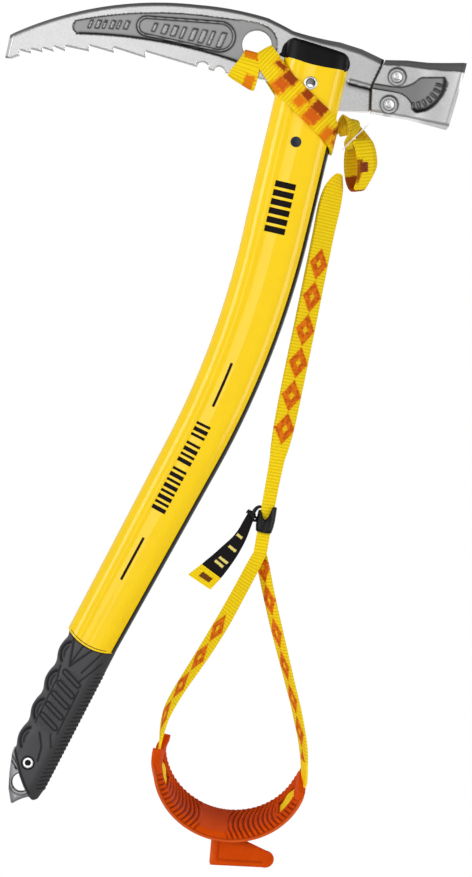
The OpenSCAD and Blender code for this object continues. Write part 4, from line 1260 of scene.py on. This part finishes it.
# ---------------------------------------------------------------- hitch
def on_skin(c, s, d):
    """A place on the tube's skin: c round from the rear edge to the front, s down, d out."""
    b = half_t(s)
    f = half_w(s) - b
    q = b * math.pi / 2
    k, way = abs(c), 1 if c < 0 else -1
    if k <= q:
        return at_shaft(s, f + (b + d) * math.cos(k / b), way * (b + d) * math.sin(k / b))
    if k <= q + 2 * f:
        return at_shaft(s, f - (k - q), way * (b + d))
    t = math.pi / 2 + (k - q - 2 * f) / b
    return at_shaft(s, -f + (b + d) * math.cos(t), way * (b + d) * math.sin(t))


SLOPE = rad(31.2)
SKIN_GAP = 0.45
BAND_O = np.array([-28.5, -27.9])
BAND_D, BAND_N = np.array([0.817, -0.577]), np.array([0.577, 0.817])


def hole_pt(v, y, o, out):
    c = np.array([-24.6 + o * 0.62, y, -13.8 - o * 0.78])
    return c + v * 7.0 * np.array([-0.78, 0, -0.62]) + out * np.array([-0.62, 0, 0.78])


def band_side(name, way, mat):
    """One side of the band, from inside the leash hole round the tube to its rear edge."""
    steps = [("hole", k) for k in np.linspace(0, 1, 24)] + [("skin", c) for c in np.arange(40, -3.01, -0.5)]
    nv = 13
    grid, along, last = [], [], None
    d = 0.0
    for kind, k in steps:
        outer, inner = [], []
        for j in range(nv):
            v = -1 + 2 * j / (nv - 1)
            at = k if kind == "skin" else 40
            c = at + v * WEB_W / 2 * math.sin(SLOPE)
            s = 40.5 - at * math.tan(SLOPE) + v * WEB_W / 2 * math.cos(SLOPE)
            po, pi = on_skin(c, s, SKIN_GAP + WEB_T), on_skin(c, s, SKIN_GAP)
            if kind == "hole":
                so, si = hole_pt(v, 0, 0, 0.7), hole_pt(v, 0, 0, -0.7)
                mo, mi = hole_pt(v, -5.2, 0.4, 0.75), hole_pt(v, -4.0, 0.4, -0.75)
                a, b, e = (1 - k) ** 2, 2 * k * (1 - k), k * k
                po, pi = so * a + mo * b + po * e, si * a + mi * b + pi * e
            outer.append(po)
            inner.append(pi)
        mid = (outer[nv // 2] + inner[nv // 2]) / 2
        if last is not None:
            d += np.linalg.norm(mid - last)
        last = mid
        grid.append((outer, inner))
        along.append(d)
    rings, uvs = [], []
    for (outer, inner), s in zip(grid, along):
        lift = 0.1 * math.sin(s * 2 * math.pi / 2.0)
        ring = []
        for j in range(nv):
            e = 1 - 0.35 * abs(-1 + 2 * j / (nv - 1)) ** 8
            o, i = np.array(outer[j]), np.array(inner[j])
            m, h = (o + i) / 2, (o - i) / 2
            ring.append(m + h * (e + lift / WEB_T * 2))
        for j in range(nv - 1, -1, -1):
            o, i = np.array(outer[j]), np.array(inner[j])
            ring.append((o + i) / 2 - (o - i) / 2 * 0.95)
        if way > 0:
            ring = [p * np.array([1, -1, 1]) for p in ring]
        rings.append(ring)
        for p in ring:
            q = np.array([p[0], p[2]]) - BAND_O
            uvs.append((float(q @ BAND_N), float(q @ BAND_D)))
    verts, faces = tube_mesh(rings)
    uvs += [(0, 0), (0, 0)]
    return add_mesh(name, verts, faces, "axe", mat, uvs=uvs, sharp=55,
                    replaces=["leash_hitch"] if way < 0 else (), slot="webbing")


DARK_RED = (0.28, 0.012, 0.006)
ORANGE_RED = (0.66, 0.09, 0.008)
band_patches = [(15.2, 9.8, 1.6, 3.6, DARK_RED), (13.7, 18.9, 3.2, 4.2, DARK_RED),
                (7.5, 17.6, 3, 3.9, ORANGE_RED),
                (2.0, 16.5, 2.6, 3.6, ORANGE), (13.6, 32.9, 2.8, 3.2, DARK_RED), (7.4, 32, 3, 2.8, ORANGE),
                (13.1, 43.2, 3.6, 4.4, DARK_RED), (6.3, 43.3, 3.2, 4.3, ORANGE_RED),
                (0.8, 42.7, 2.6, 3.4, ORANGE),
                (4.6, 56.5, 4.2, 2.6, ORANGE), (12, 61.1, 4, 3.4, DARK_RED), (7, 64.4, 3.4, 3, ORANGE_RED)]


def band_shade(g, col, u, w):
    for cu, cw, hu, hw, tone in band_patches:
        col = patched(g, col, u, w, (cu, cw, hu + 1.5, hw + 1.5), 0.35, ORANGE, soft=3)
    for *box, tone in band_patches:
        col = patched(g, col, u, w, box, 0.92, tone, soft=1.6)
    return col


web_band = webbing("webbing_band", rib=2.0, shade=band_shade)
web_plain = webbing("webbing_plain", rib=2.0)
band_side("band_front", -1, web_band)
band_side("band_back", 1, web_plain)


def fold_shade(g, col, u, w):
    col = patched(g, col, u, w, (-1.5, 8.5, 4, 3.4), 0.9, ORANGE, lean=0.5)
    return patched(g, col, u, w, (4, 36, 3, 5), 0.9, ORANGE)


# the turn round the steel below the hole, a little slack and splayed to its lower end
turn_rows = []
turn_c, ta = np.array([-31.0, 0, -24.6]), rad(14.7)
ux, uz = np.array([math.cos(ta), 0, -math.sin(ta)]), np.array([math.sin(ta), 0, math.cos(ta)])
for k in range(40):
    a = 2 * math.pi * k / 40
    y = -4.0 * math.cos(a) * (1 + 0.08 * math.cos(2 * a))
    z = 9.6 * math.sin(a)
    soft = 5.6 + 3.0 * smooth(-z, -8, 9) * (1 if y < 0 else 0.5)
    lean = 0.16 * math.sin(a + 0.6)
    c = turn_c + uz * z + np.array([0, y, 0])
    w = (ux + uz * lean) * soft
    o = unit(np.array([0, y / 16, 0]) + uz * (z / 92))
    turn_rows.append((*c, *w, *o, WEB_T / 2))
turn_rows.append(turn_rows[0])
ribbon("turn", even(spline(turn_rows, 4), 0.7), "axe", webbing("webbing_turn", rib=2.0, shade=fold_shade),
       rib=2.0, rib_h=0.09, slot="webbing")

# the bight behind the shaft, through the top of the eye and back
rear_ctrl = [((26.6, 2.5, -49.5), (0, 4.4, -4)), ((30.2, 1.6, -44.4), (1.6, 4.8, -1.6)),
             ((34.2, -0.5, -45.2), (2.6, 4.6, 1.4)), ((36.2, -3, -50.2), (2.8, 3.2, 2.6)),
             ((34.4, -3.6, -56.6), (2.6, 1.6, 2.2)), ((35.6, -2.4, -61.6), (1.8, -0.9, 1)),
             ((41.65, 2.87, -60.3), (2, -2.2, 0)), ((46.4, 8.4, -58.6), (2, -2.2, 0.4)),
             ((43.6, 12.4, -53), (2.4, -1.6, 1.6)), ((35.4, 10.8, -48), (0, -1.6, 3.9)),
             ((27.4, 6, -50.5), (-1.6, 0, 3.9))]


def path_ribbon(name, ctrl, body, mat, half_thick, **kw):
    rows = spline([(*c, *w) for c, w in ctrl], 8)
    tang = np.gradient(rows[:, :3], axis=0)
    out = [(*r, *unit(np.cross(t, r[3:6])), half_thick) for r, t in zip(rows, tang)]
    return ribbon(name, even(out, 0.6), body, mat, **kw)


def rear_shade(g, col, u, w):
    shade = g.mix(0.35, col, (0.35, 0.2, 0.01))
    return g.mix(g.step(g.noise(g.vec(u, w), 0.16, 2), 0.42, 0.6), col, shade)


# a darker copy of the yellow webbing: painted shade for the bight behind the tube, with darker brown blotches
# at random from rear_shade
web_rear = webbing("webbing_rear", rib=1.9, base=(0.8, 0.55, 0.015), shade=rear_shade)
path_ribbon("bight", rear_ctrl, "axe", web_rear, WEB_T / 2, rib_h=0.1, slot="webbing")

# the eye that the strap hangs from
eye_mid = np.array([43.4, 4.4, -69])
eye_w, eye_up = np.array([0.724, 0.634, 0.262]), np.array([-0.197, -0.172, 0.965])
eye_in = np.array([0.657, -0.751, 0])


def eye_at(a):
    """The middle of the eye's webbing at angle a from its top, and the way out of the eye there."""
    c = eye_mid + 14.2 * math.cos(a) * eye_up + 5.8 * math.sin(a) * eye_in
    return c, unit(math.cos(a) / 14.5 * eye_up + math.sin(a) / 6 * eye_in)


eye_rows = []
for k in range(73):
    a = 2 * math.pi * k / 72
    c, o = eye_at(a)
    # its lower end is drawn together towards the left
    low = smooth(-math.cos(a), -0.1, 1)
    c = c - eye_w * 3.4 * low
    eye_rows.append((*c, *(eye_w * WEB_W / 2 * (1 - 0.42 * low)), *o, WEB_T * 0.7))


def eye_shade(g, col, u, w):
    col = patched(g, col, u, w, (-6.4, 20, 1.7, 7.5), 0.85, DARK_RED, soft=1.6)
    col = patched(g, col, u, w, (-1, 37, 6, 6), 0.9, DARK_RED)
    return patched(g, col, u, w, (5.8, 12, 1.6, 9), 0.35, (0.5, 0.3, 0.01))


ribbon("eye", even(eye_rows, 0.6), "axe", webbing("webbing_eye", rib=2.0, shade=eye_shade), layers=2, rib=2.0,
       rib_h=0.1, replaces=["leash_eye"], slot="webbing")

# bar tacks: rows of raised thread across the eye where it is sewn
tack_v, tack_f = [], []
for row in range(5):
    for j in range(9):
        rings = []
        for i in range(7):
            a = rad(84 + row * 4.6 + (i - 3) * 0.75)
            c, o = eye_at(a)
            t = unit(-14.2 * math.sin(a) * eye_up + 5.8 * math.cos(a) * eye_in)
            c = c + eye_w * (-6.0 + 0.62 * j + 0.2 * (i - 3))
            c = c + o * (WEB_T * 0.7 + 0.06 + 0.26 * (1 - ((i - 3) / 3.2) ** 2))
            side_v = unit(np.cross(t, o))
            rings.append([c + 0.24 * (math.cos(b) * side_v + math.sin(b) * o)
                          for b in np.linspace(0, 5.5, 7)])
        v, f = tube_mesh(rings)
        tack_f += [tuple(x + len(tack_v) for x in q) for q in fix_out(v, f)]
        tack_v += v
add_mesh("tacks", tack_v, tack_f, "axe", m_thread, replaces=["eye_stitches"], slot="thread")

tag_ctrl = [((31.8, -6.6, -62.4), (0.9, 0.2, 1.1)), ((34.6, -7.6, -58.6), (1.1, 0, 1.15)),
            ((37.6, -7.8, -54.4), (1.2, 0, 1.2)), ((40.8, -7.4, -50.2), (1.3, 0.1, 1.15)),
            ((43.4, -7.0, -46.4), (1.3, 0.2, 1.0))]
path_ribbon("tag", tag_ctrl, "axe", m_label, 0.28, rib=1.3, rib_h=0.04, replaces=["leash_label"],
            slot="label")


# ---------------------------------------------------------------- slider and tab
SLIDER = np.array([22.98, 0, -283.2])
sl = rad(1.71)


def at_slider(p):
    """From the slider's own upright frame to the strap's slight lean."""
    c, s = math.cos(sl), math.sin(sl)
    return SLIDER + np.array([p[0] * c + p[2] * s, p[1], -p[0] * s + p[2] * c])


def stadium(w, t, a):
    """The point at turn a (0 to 1) round a stadium with half sizes w and t."""
    f, q = w - t, math.pi * t / 2
    total = 4 * f + 4 * q
    d = (a * total) % total
    for sx, sy, first in ((1, 1, True), (-1, 1, False), (-1, -1, True), (1, -1, False)):
        for part in ("arc", "flat") if first else ("flat", "arc"):
            size = q if part == "arc" else f
            if d <= size:
                k = d / size
                if part == "arc":
                    ang = rad(90 * k) if first else rad(90 * (1 - k))
                    return sx * (f + t * math.cos(ang)), sy * t * math.sin(ang)
                x = f * (1 - k) if first else f * k
                return sx * x, sy * t
            d -= size
    return w, 0.0


rings = []
for k in range(120):
    a = k / 120
    ox, oy = stadium(6.9, 4.2, a)
    ix, iy = stadium(5.6, 2.7, a)
    fx, fy = unit((ox - ix + 1e-6, oy - iy))
    wing = 2.3 * smooth(ox, 1, 5) - 0.9 * smooth(-ox, 2, 6)
    notch = 6.0 * smooth(5.4 - abs(ox + 1.0), 0, 5.4) ** 0.8 * (1 if oy < -1 else 0.25)
    top = 6.6 + wing - notch
    low = -6.9 - 0.25 * (1 - abs(ox) / 6.9)
    knurl = 0.12 * math.sin(2 * math.pi * k / 3)
    ring = [(ix, iy, low + 0.5), (ix + 0.25 * fx, iy + 0.25 * fy, low), (ox - 0.5 * fx, oy - 0.5 * fy, low),
            (ox, oy, low + 0.6)]
    for j in range(1, 8):
        z = low + 0.6 + (top - low - 1.2) * j / 8
        waist = 0.35 * math.sin(math.pi * j / 8) * (1 - abs(ox) / 9)
        ring.append((ox - waist * fx * 0.4, oy - waist * fy + (knurl if oy < -1 else 0) * 0.4, z))
    ring += [(ox, oy, top - 0.6), (ox - 0.5 * fx, oy - 0.5 * fy, top),
             (ix + 0.3 * fx, iy + 0.3 * fy, top - 0.1), (ix, iy, top - 0.6)]
    # the body narrows to its lower end
    ring = [(x * np.interp(z, [-7, -3.5, 1, 8], [0.66, 0.76, 0.8, 0.76]) - 0.5, y, z) for x, y, z in ring]
    rings.append([at_slider(p) for p in ring])
slider_verts = [p for r in rings for p in r]
slider_faces = fix_out(slider_verts, torus_faces(len(rings), len(rings[0])))
TAB = np.array([13.438, 0, -280.529])
tab_x, tab_z = np.array([0.87706, 0, -0.48038]), np.array([0.48038, 0, 0.87706])


def at_tab(x, y, z):
    return TAB + tab_x * x + tab_z * z + np.array([0, y, 0])


def rod(x0, x1, profile):
    """A turned pin along the tab's X axis; profile holds (place from 0 to 1, radius)."""
    rings = [[at_tab(x0 + (x1 - x0) * f, r * math.cos(a), r * math.sin(a))
              for a in np.linspace(0, 2 * math.pi, 20, endpoint=False)] for f, r in profile]
    v, f = tube_mesh(rings)
    return v, fix_out(v, f)


def keeper_loop():
    """The small loop at the slider's upper left corner that the tab hangs from."""
    rings = []
    for i in range(36):
        a = 2 * math.pi * i / 36
        out = np.array([math.cos(a), 0, math.sin(a)])
        c = np.array([-5.9 + 2.5 * math.cos(a) + 0.9 * math.sin(a), 0, 3.2 + 4.3 * math.sin(a)])
        thick = 0.85 + 0.35 * max(0, -math.cos(a))
        rings.append([at_slider(c + out * thick * math.cos(b) + np.array([0, 1.5 * math.sin(b), 0]))
                      for b in np.linspace(0, 2 * math.pi, 12, endpoint=False)])
    v = [p for r in rings for p in r]
    return v, fix_out(v, torus_faces(36, 12))


parts = [(slider_verts, slider_faces), keeper_loop(), rod(-2.95, 5.0, [(0, 0.8), (1, 0.8)]),
         rod(-2.95, -2.05, [(0, 1.0), (0.2, 1.4), (0.8, 1.5), (1, 1.4)])]
verts, faces = [], []
for v, f in parts:
    faces += [tuple(x + len(verts) for x in q) for q in f]
    verts += list(v)
add_mesh("slider_shell", verts, faces, "slider", m_black, replaces=["slider_body"], slot="black_plastic",
         sharp=45)

# the webbing tab, ribbed and spreading to its end
tab_left = [(-1.7, -0.6), (-1.0, -6), (-0.1, -12), (-0.2, -18), (-1.4, -25), (-2.6, -32), (-3.9, -38),
            (-4.4, -41)]
tab_right = [(2.9, -0.6), (4.6, -6), (6.5, -12), (7.8, -18), (8.8, -25), (9.2, -32), (9.3, -38), (9.2, -41)]
left, right = spline(tab_left, 8), spline(tab_right, 8)
tab_rows = []
for a, b in zip(left, right):
    (x, z), w = (a + b) / 2, (b - a) / 2
    centre = at_tab(x, 0.5 * math.sin(-z / 9), z)
    tab_rows.append((*centre, *(tab_x * w[0] + tab_z * w[1]), 0, -1, 0, WEB_T / 2))


def tab_shade(g, col, u, w):
    for box in (-0.8, 14.2, 1.9, 0.8), (0.2, 22.5, 2.6, 0.8), (0.6, 31.0, 3.0, 0.8), (0.2, 34.2, 3.0, 0.8):
        col = patched(g, col, u, w, box, 0.95, (0.85, 0.72, 0.2), soft=0.4, rag=1.0)
    return col


def end_shade(g, col, u, w):
    return patched(g, col, u, w, (0.4, 4.8, 3.6, 1.7), 0.95, (0.12, 0.02, 0.01), soft=0.4, rag=1.2)


web_black = webbing("webbing_black", rib=1.5, base=(0.012, 0.01, 0.01), shade=tab_shade)
ribbon("tab_web", even(tab_rows, 0.5), "tab", web_black, layers=2, rib=1.5, rib_h=0.07, slot="black_webbing",
       replaces=["slider_tab"])
add_mesh("tab_barrel", *rod(-1.9, 2.7, [(0, 1.3), (0.08, 1.7), (0.92, 1.7), (1, 1.3)]), "tab", m_black,
         slot="black_webbing")
end_rows = []
for k in range(9):
    z = -40.6 - 9.4 * k / 8
    half = tab_x * (6.9 + 0.1 * k) + tab_z * (0.2 + 0.35 * (k / 8))
    end_rows.append((*at_tab(2.4 - 0.2 * k, 0.5 * math.sin(-z / 9), z), *half, 0, -1, 0, 1.25))
ribbon("tab_fold", even(end_rows, 0.5), "tab", webbing("webbing_end", rib=1.5, shade=end_shade), layers=3,
       rib=1.5, rib_h=0.08, replaces=["tab_end"], slot="webbing")


# ---------------------------------------------------------------- cuff
cuff_half, cuff_out_r = 19.0, 45.0
# the windows' middles in degrees, their half sizes, and the length of a degree on the inner face
WINDOWS, WINDOW_ALONG, WINDOW_ACROSS, DEGREE = (201, 331), 7.6, 8.4, 0.707
n_t, n_w = 344, 64


def cuff_relief(t, w):
    """Ribs on the cuff's inner face, and the painted shade in their hollows, along its rims and round its
    windows.
    """
    ribbed = smooth(t, 190, 196) * smooth(346 - t, 0, 6)
    calm = smooth(np.abs(t - 263) - 9, 0, 6)
    bow = 6.5 * (w / cuff_half) ** 2 * np.sign(263 - t)
    wave = np.sin(2 * math.pi * (t + bow) / 4.25)
    edge = smooth(cuff_half - 1.0 - np.abs(w), 0, 1.2)
    h = 0.55 * wave * ribbed * calm * edge
    dark = smooth(-wave, 0.1, 0.9) * ribbed * calm * edge
    rim = glow(np.abs(w) - (cuff_half - 1.1), 0.4)
    h -= 0.15 * rim
    for c in WINDOWS:
        d = np.maximum(np.abs(t - c) * DEGREE - 8, np.abs(w) - 9.2)
        frame_h = glow(d - 0.3, 0.7)
        h = np.where(d < 1.6, 0.35 * frame_h, h)
        dark = np.where(d < 1.6, 0.2, dark)
    return h, np.maximum(dark, 0.7 * rim)


rows_t = np.linspace(180.4, 351.6, n_t)
rows_w = np.linspace(-1, 1, n_w)
tt, ww = np.meshgrid(rows_t, rows_w, indexing="ij")
tt, ww = tt.ravel(), ww.ravel()
# both ends are cut slantwise: the back corner on the left reaches higher than the front one
tt = tt - (5.0 * smooth(-ww, 0.1, 0.9) + 4.6 * smooth(ww, 0.1, 0.9)) * smooth(200 - tt, 0, 19)
tt = tt + (1.8 * smooth(ww, 0, 0.9) - 1.5 * smooth(-ww, 0, 0.9)) * smooth(tt - 335, 0, 16)
back_edge = ww > 0.97
# the back rim is finely toothed and the ends are rounded
half_here = cuff_half - 5.5 * smooth(np.abs(tt - 266) - 78, 0, 8) ** 2
w_mm = ww * half_here + np.where(back_edge, 0.6 * np.sin(tt * 2 * math.pi / 2.6), 0)
rise, dark = cuff_relief(tt, w_mm)
rim_in = 0.9 * smooth(np.abs(ww), 0.9, 1.0) ** 2
# at the front the inner face flares out to a thin rim, and the left end's corners bend apart
flare = 2.3 * smooth(-ww, 0.68, 1.0)
bend = (1.6 * smooth(-ww, 0.2, 0.9) - 2.6 * smooth(ww, 0.1, 0.9)) * smooth(197 - tt, 0, 18)
inner_r = cuff_r + rim_in - rise + flare + bend
outer_r = np.full(len(tt), cuff_out_r) - 1.2 * smooth(np.abs(ww), 0.86, 1.0) ** 2
outer_r += bend + 0.12 * np.sin(w_mm * 2 * math.pi / 3.1) * (np.abs(ww) < 0.8)
verts, line, lip = [], [], []
for radius, is_inner in ((inner_r, True), (outer_r, False)):
    for t, w, r, d in zip(tt, w_mm, radius, dark):
        verts.append(cuff_pt(r, t, w))
        # the inner face carries the ribs' painted shade
        line.append(d if is_inner else 0.0)
        # a painted highlight lightens the front rim
        lip_from, lip_to = (cuff_half - 1.2, cuff_half - 0.4) if is_inner else (15, 18.6)
        lip.append(float(smooth(-w, lip_from, lip_to)))
half_n = n_t * n_w


def in_window(i, j):
    t = (rows_t[i] + rows_t[i + 1]) / 2
    w = (rows_w[j] + rows_w[j + 1]) / 2 * cuff_half
    return any(max(abs(t - c) * DEGREE / WINDOW_ALONG, abs(w) / WINDOW_ACROSS) < 1 for c in WINDOWS)


faces, cells = [], {}
for i in range(n_t - 1):
    for j in range(n_w - 1):
        a = i * n_w + j
        q = (a, a + 1, a + 1 + n_w, a + n_w)
        faces.append(tuple(x + half_n for x in q))
        if in_window(i, j):
            cells[(i, j)] = q
        else:
            faces.append(q[::-1])
for i in range(n_t - 1):
    for j, flip in ((0, False), (n_w - 1, True)):
        a = i * n_w + j
        q = (a, a + n_w, a + n_w + half_n, a + half_n)
        faces.append(q[::-1] if flip else q)
for j in range(n_w - 1):
    for i, flip in ((0, True), (n_t - 1, False)):
        a = i * n_w + j
        q = (a, a + 1, a + 1 + half_n, a + half_n)
        faces.append(q[::-1] if flip else q)
# each window's walls go down to the slot that the webbing runs in
deep = {}


def sunk_vertex(v):
    if v not in deep:
        deep[v] = len(verts)
        verts.append(cuff_pt(cuff_r + 1.5, tt[v], w_mm[v]))
        # the window's walls get painted shade
        line.append(0.5)
        lip.append(0.0)
    return deep[v]


for (i, j), q in cells.items():
    for (di, dj), (a, b) in (((0, -1), (q[0], q[3])), ((0, 1), (q[2], q[1])), ((-1, 0), (q[1], q[0])),
                             ((1, 0), (q[3], q[2]))):
        if (i + di, j + dj) not in cells:
            faces.append((a, b, sunk_vertex(b), sunk_vertex(a)))


def cuff_rubber(name):
    g = Graph(name)
    v = g.coords()
    grain = g.noise(v, 3.0, 3, 0.6)
    blot = g.noise(v, 0.08, 2, 0.5)
    col = g.mix(g.step(blot, 0.3, 0.7), (0.66, 0.068, 0.002), (0.74, 0.082, 0.003))
    # painted shade in the ribs' hollows, along the rims and in the windows
    col = g.mix(g.mul(g.attr("line"), 0.75), col, (0.1, 0.006, 0.002))
    # painted highlight on the front rim and on the tail's raised ridge
    col = g.mix(g.mul(g.attr("lip"), 0.35), col, (0.82, 0.19, 0.05))
    return g.set(Base_Color=col, Roughness=g.step(grain, 0.3, 0.7, 0.6, 0.75), Specular_IOR_Level=0.03,
                 Normal=g.bump(grain, 0.00002, 0.5))


m_cuff = cuff_rubber("cuff_rubber")
add_mesh("cuff", verts, faces, "leash", m_cuff, attrs={"line": line, "lip": lip}, replaces=["wrist_cuff"],
         slot="orange_rubber", sharp=50)

tab_edge = [(-4.2, -44.2), (-4.4, -52), (-3.2, -67.6), (-2.2, -69)]
tab_low = [(-2.2, -69), (27.8, -65.2)]
tab_round = arc3((27.8, -65.2), (34, -59.6), (28.6, -54.4), 12)
tab_free = tab_edge + tab_low[1:] + tab_round[1:] + [(13, -49.4)]
tab_outline = tab_free + [(11, -44), (4, -44.6)]


def tab_half(p):
    h = np.full(len(p), 1.5) + 0.5 * glow(seg_dist(p, [(-3.2, -50), (-2, -66)]), 0.9)
    h -= edge_round(seg_dist(p, tab_free), 1.0)
    groove_d = seg_dist(p, [(0.2, -52), (1, -64.6), (27, -61.6)])
    h -= 0.3 * glow(groove_d, 0.6)
    # painted shade over the upper part, where the tail meets the cuff, and in its groove
    line = np.maximum(smooth(p[:, 1], -55, -48) * 0.9, glow(groove_d, 0.7) * 0.5)
    # painted highlight along the raised ridge by the tail's edge
    return h, {"line": line, "lip": glow(seg_dist(p, [(-3.4, -52), (-2.4, -67)]), 0.9)}


plate("cuff_tail", tab_outline, [], tab_half, "leash", m_cuff, step=0.7, wall_rows=5, replaces=["cuff_tab"],
      to3=lambda v: np.array([cuff_mid + np.array([x, y * ct - z * st, y * st + z * ct]) for x, y, z in v]),
      slot="orange_rubber", sharp=45)

# ---------------------------------------------------------------- the one CAD node that stays
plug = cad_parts["spike_plug"].data
plug.materials.clear()
plug.materials.append(m_black)

# ---------------------------------------------------------------- light and floor
world = bpy.data.worlds.new("studio")
scene.world = world
world.use_nodes = True
wt = world.node_tree
bg = wt.nodes["Background"]
tc = wt.nodes.new("ShaderNodeTexCoord")
sep = wt.nodes.new("ShaderNodeSeparateXYZ")
ramp = wt.nodes.new("ShaderNodeValToRGB")
wt.links.new(tc.outputs["Generated"], sep.inputs[0])
half_z = wt.nodes.new("ShaderNodeMath")
half_z.operation = "MULTIPLY_ADD"
half_z.inputs[1].default_value = 0.5
half_z.inputs[2].default_value = 0.5
wt.links.new(sep.outputs[2], half_z.inputs[0])
wt.links.new(half_z.outputs[0], ramp.inputs[0])
cr = ramp.color_ramp
stops = [(0.0, 0.35), (0.35, 0.6), (0.5, 0.75), (0.62, 0.7), (0.78, 0.2), (1.0, 0.12)]
while len(cr.elements) < len(stops):
    cr.elements.new(0.5)
for el, (x, v) in zip(cr.elements, stops):
    el.position = x
    el.color = (v, v, v, 1)
lp = wt.nodes.new("ShaderNodeLightPath")
mx = wt.nodes.new("ShaderNodeMix")
mx.data_type = "RGBA"
wt.links.new(lp.outputs["Is Camera Ray"], mx.inputs[0])
wt.links.new(ramp.outputs[0], mx.inputs[6])
mx.inputs[7].default_value = (1, 1, 1, 1)
wt.links.new(mx.outputs[2], bg.inputs[0])
bg.inputs[1].default_value = 1.0


def area(name, loc, size, power):
    """A rectangular light at loc that looks at the middle of the axe."""
    li = bpy.data.lights.new(name, "AREA")
    li.shape = "RECTANGLE"
    li.size, li.size_y = size
    li.energy = power
    ob = bpy.data.objects.new(name, li)
    scene.collection.objects.link(ob)
    ob.location = loc
    ob.rotation_euler = (Vector((0, 0, -0.25)) - Vector(loc)).to_track_quat("-Z", "Y").to_euler()


area("strip", (-0.26, -1.42, -0.15), (0.22, 1.3), 2.2)
area("key", (-1.3, -0.85, 0.3), (0.6, 1.2), 12)
area("fill", (1.3, -0.8, -0.1), (0.6, 1.2), 8)
area("back", (0.3, 1.4, 0.2), (1.0, 1.2), 8)

floor_r, floor_z = 0.45, -0.62
floor_turns = [2 * math.pi * k / 96 for k in range(96)]
floor_verts = [(floor_r * math.cos(a), floor_r * math.sin(a), floor_z) for a in floor_turns]
fm = bpy.data.meshes.new("floor")
fm.from_pydata(floor_verts, [], [tuple(range(96))])
floor = bpy.data.objects.new("floor", fm)
scene.collection.objects.link(floor)
fm.materials.append(plastic("floor_paint", (0.9, 0.9, 0.9), 0.6))
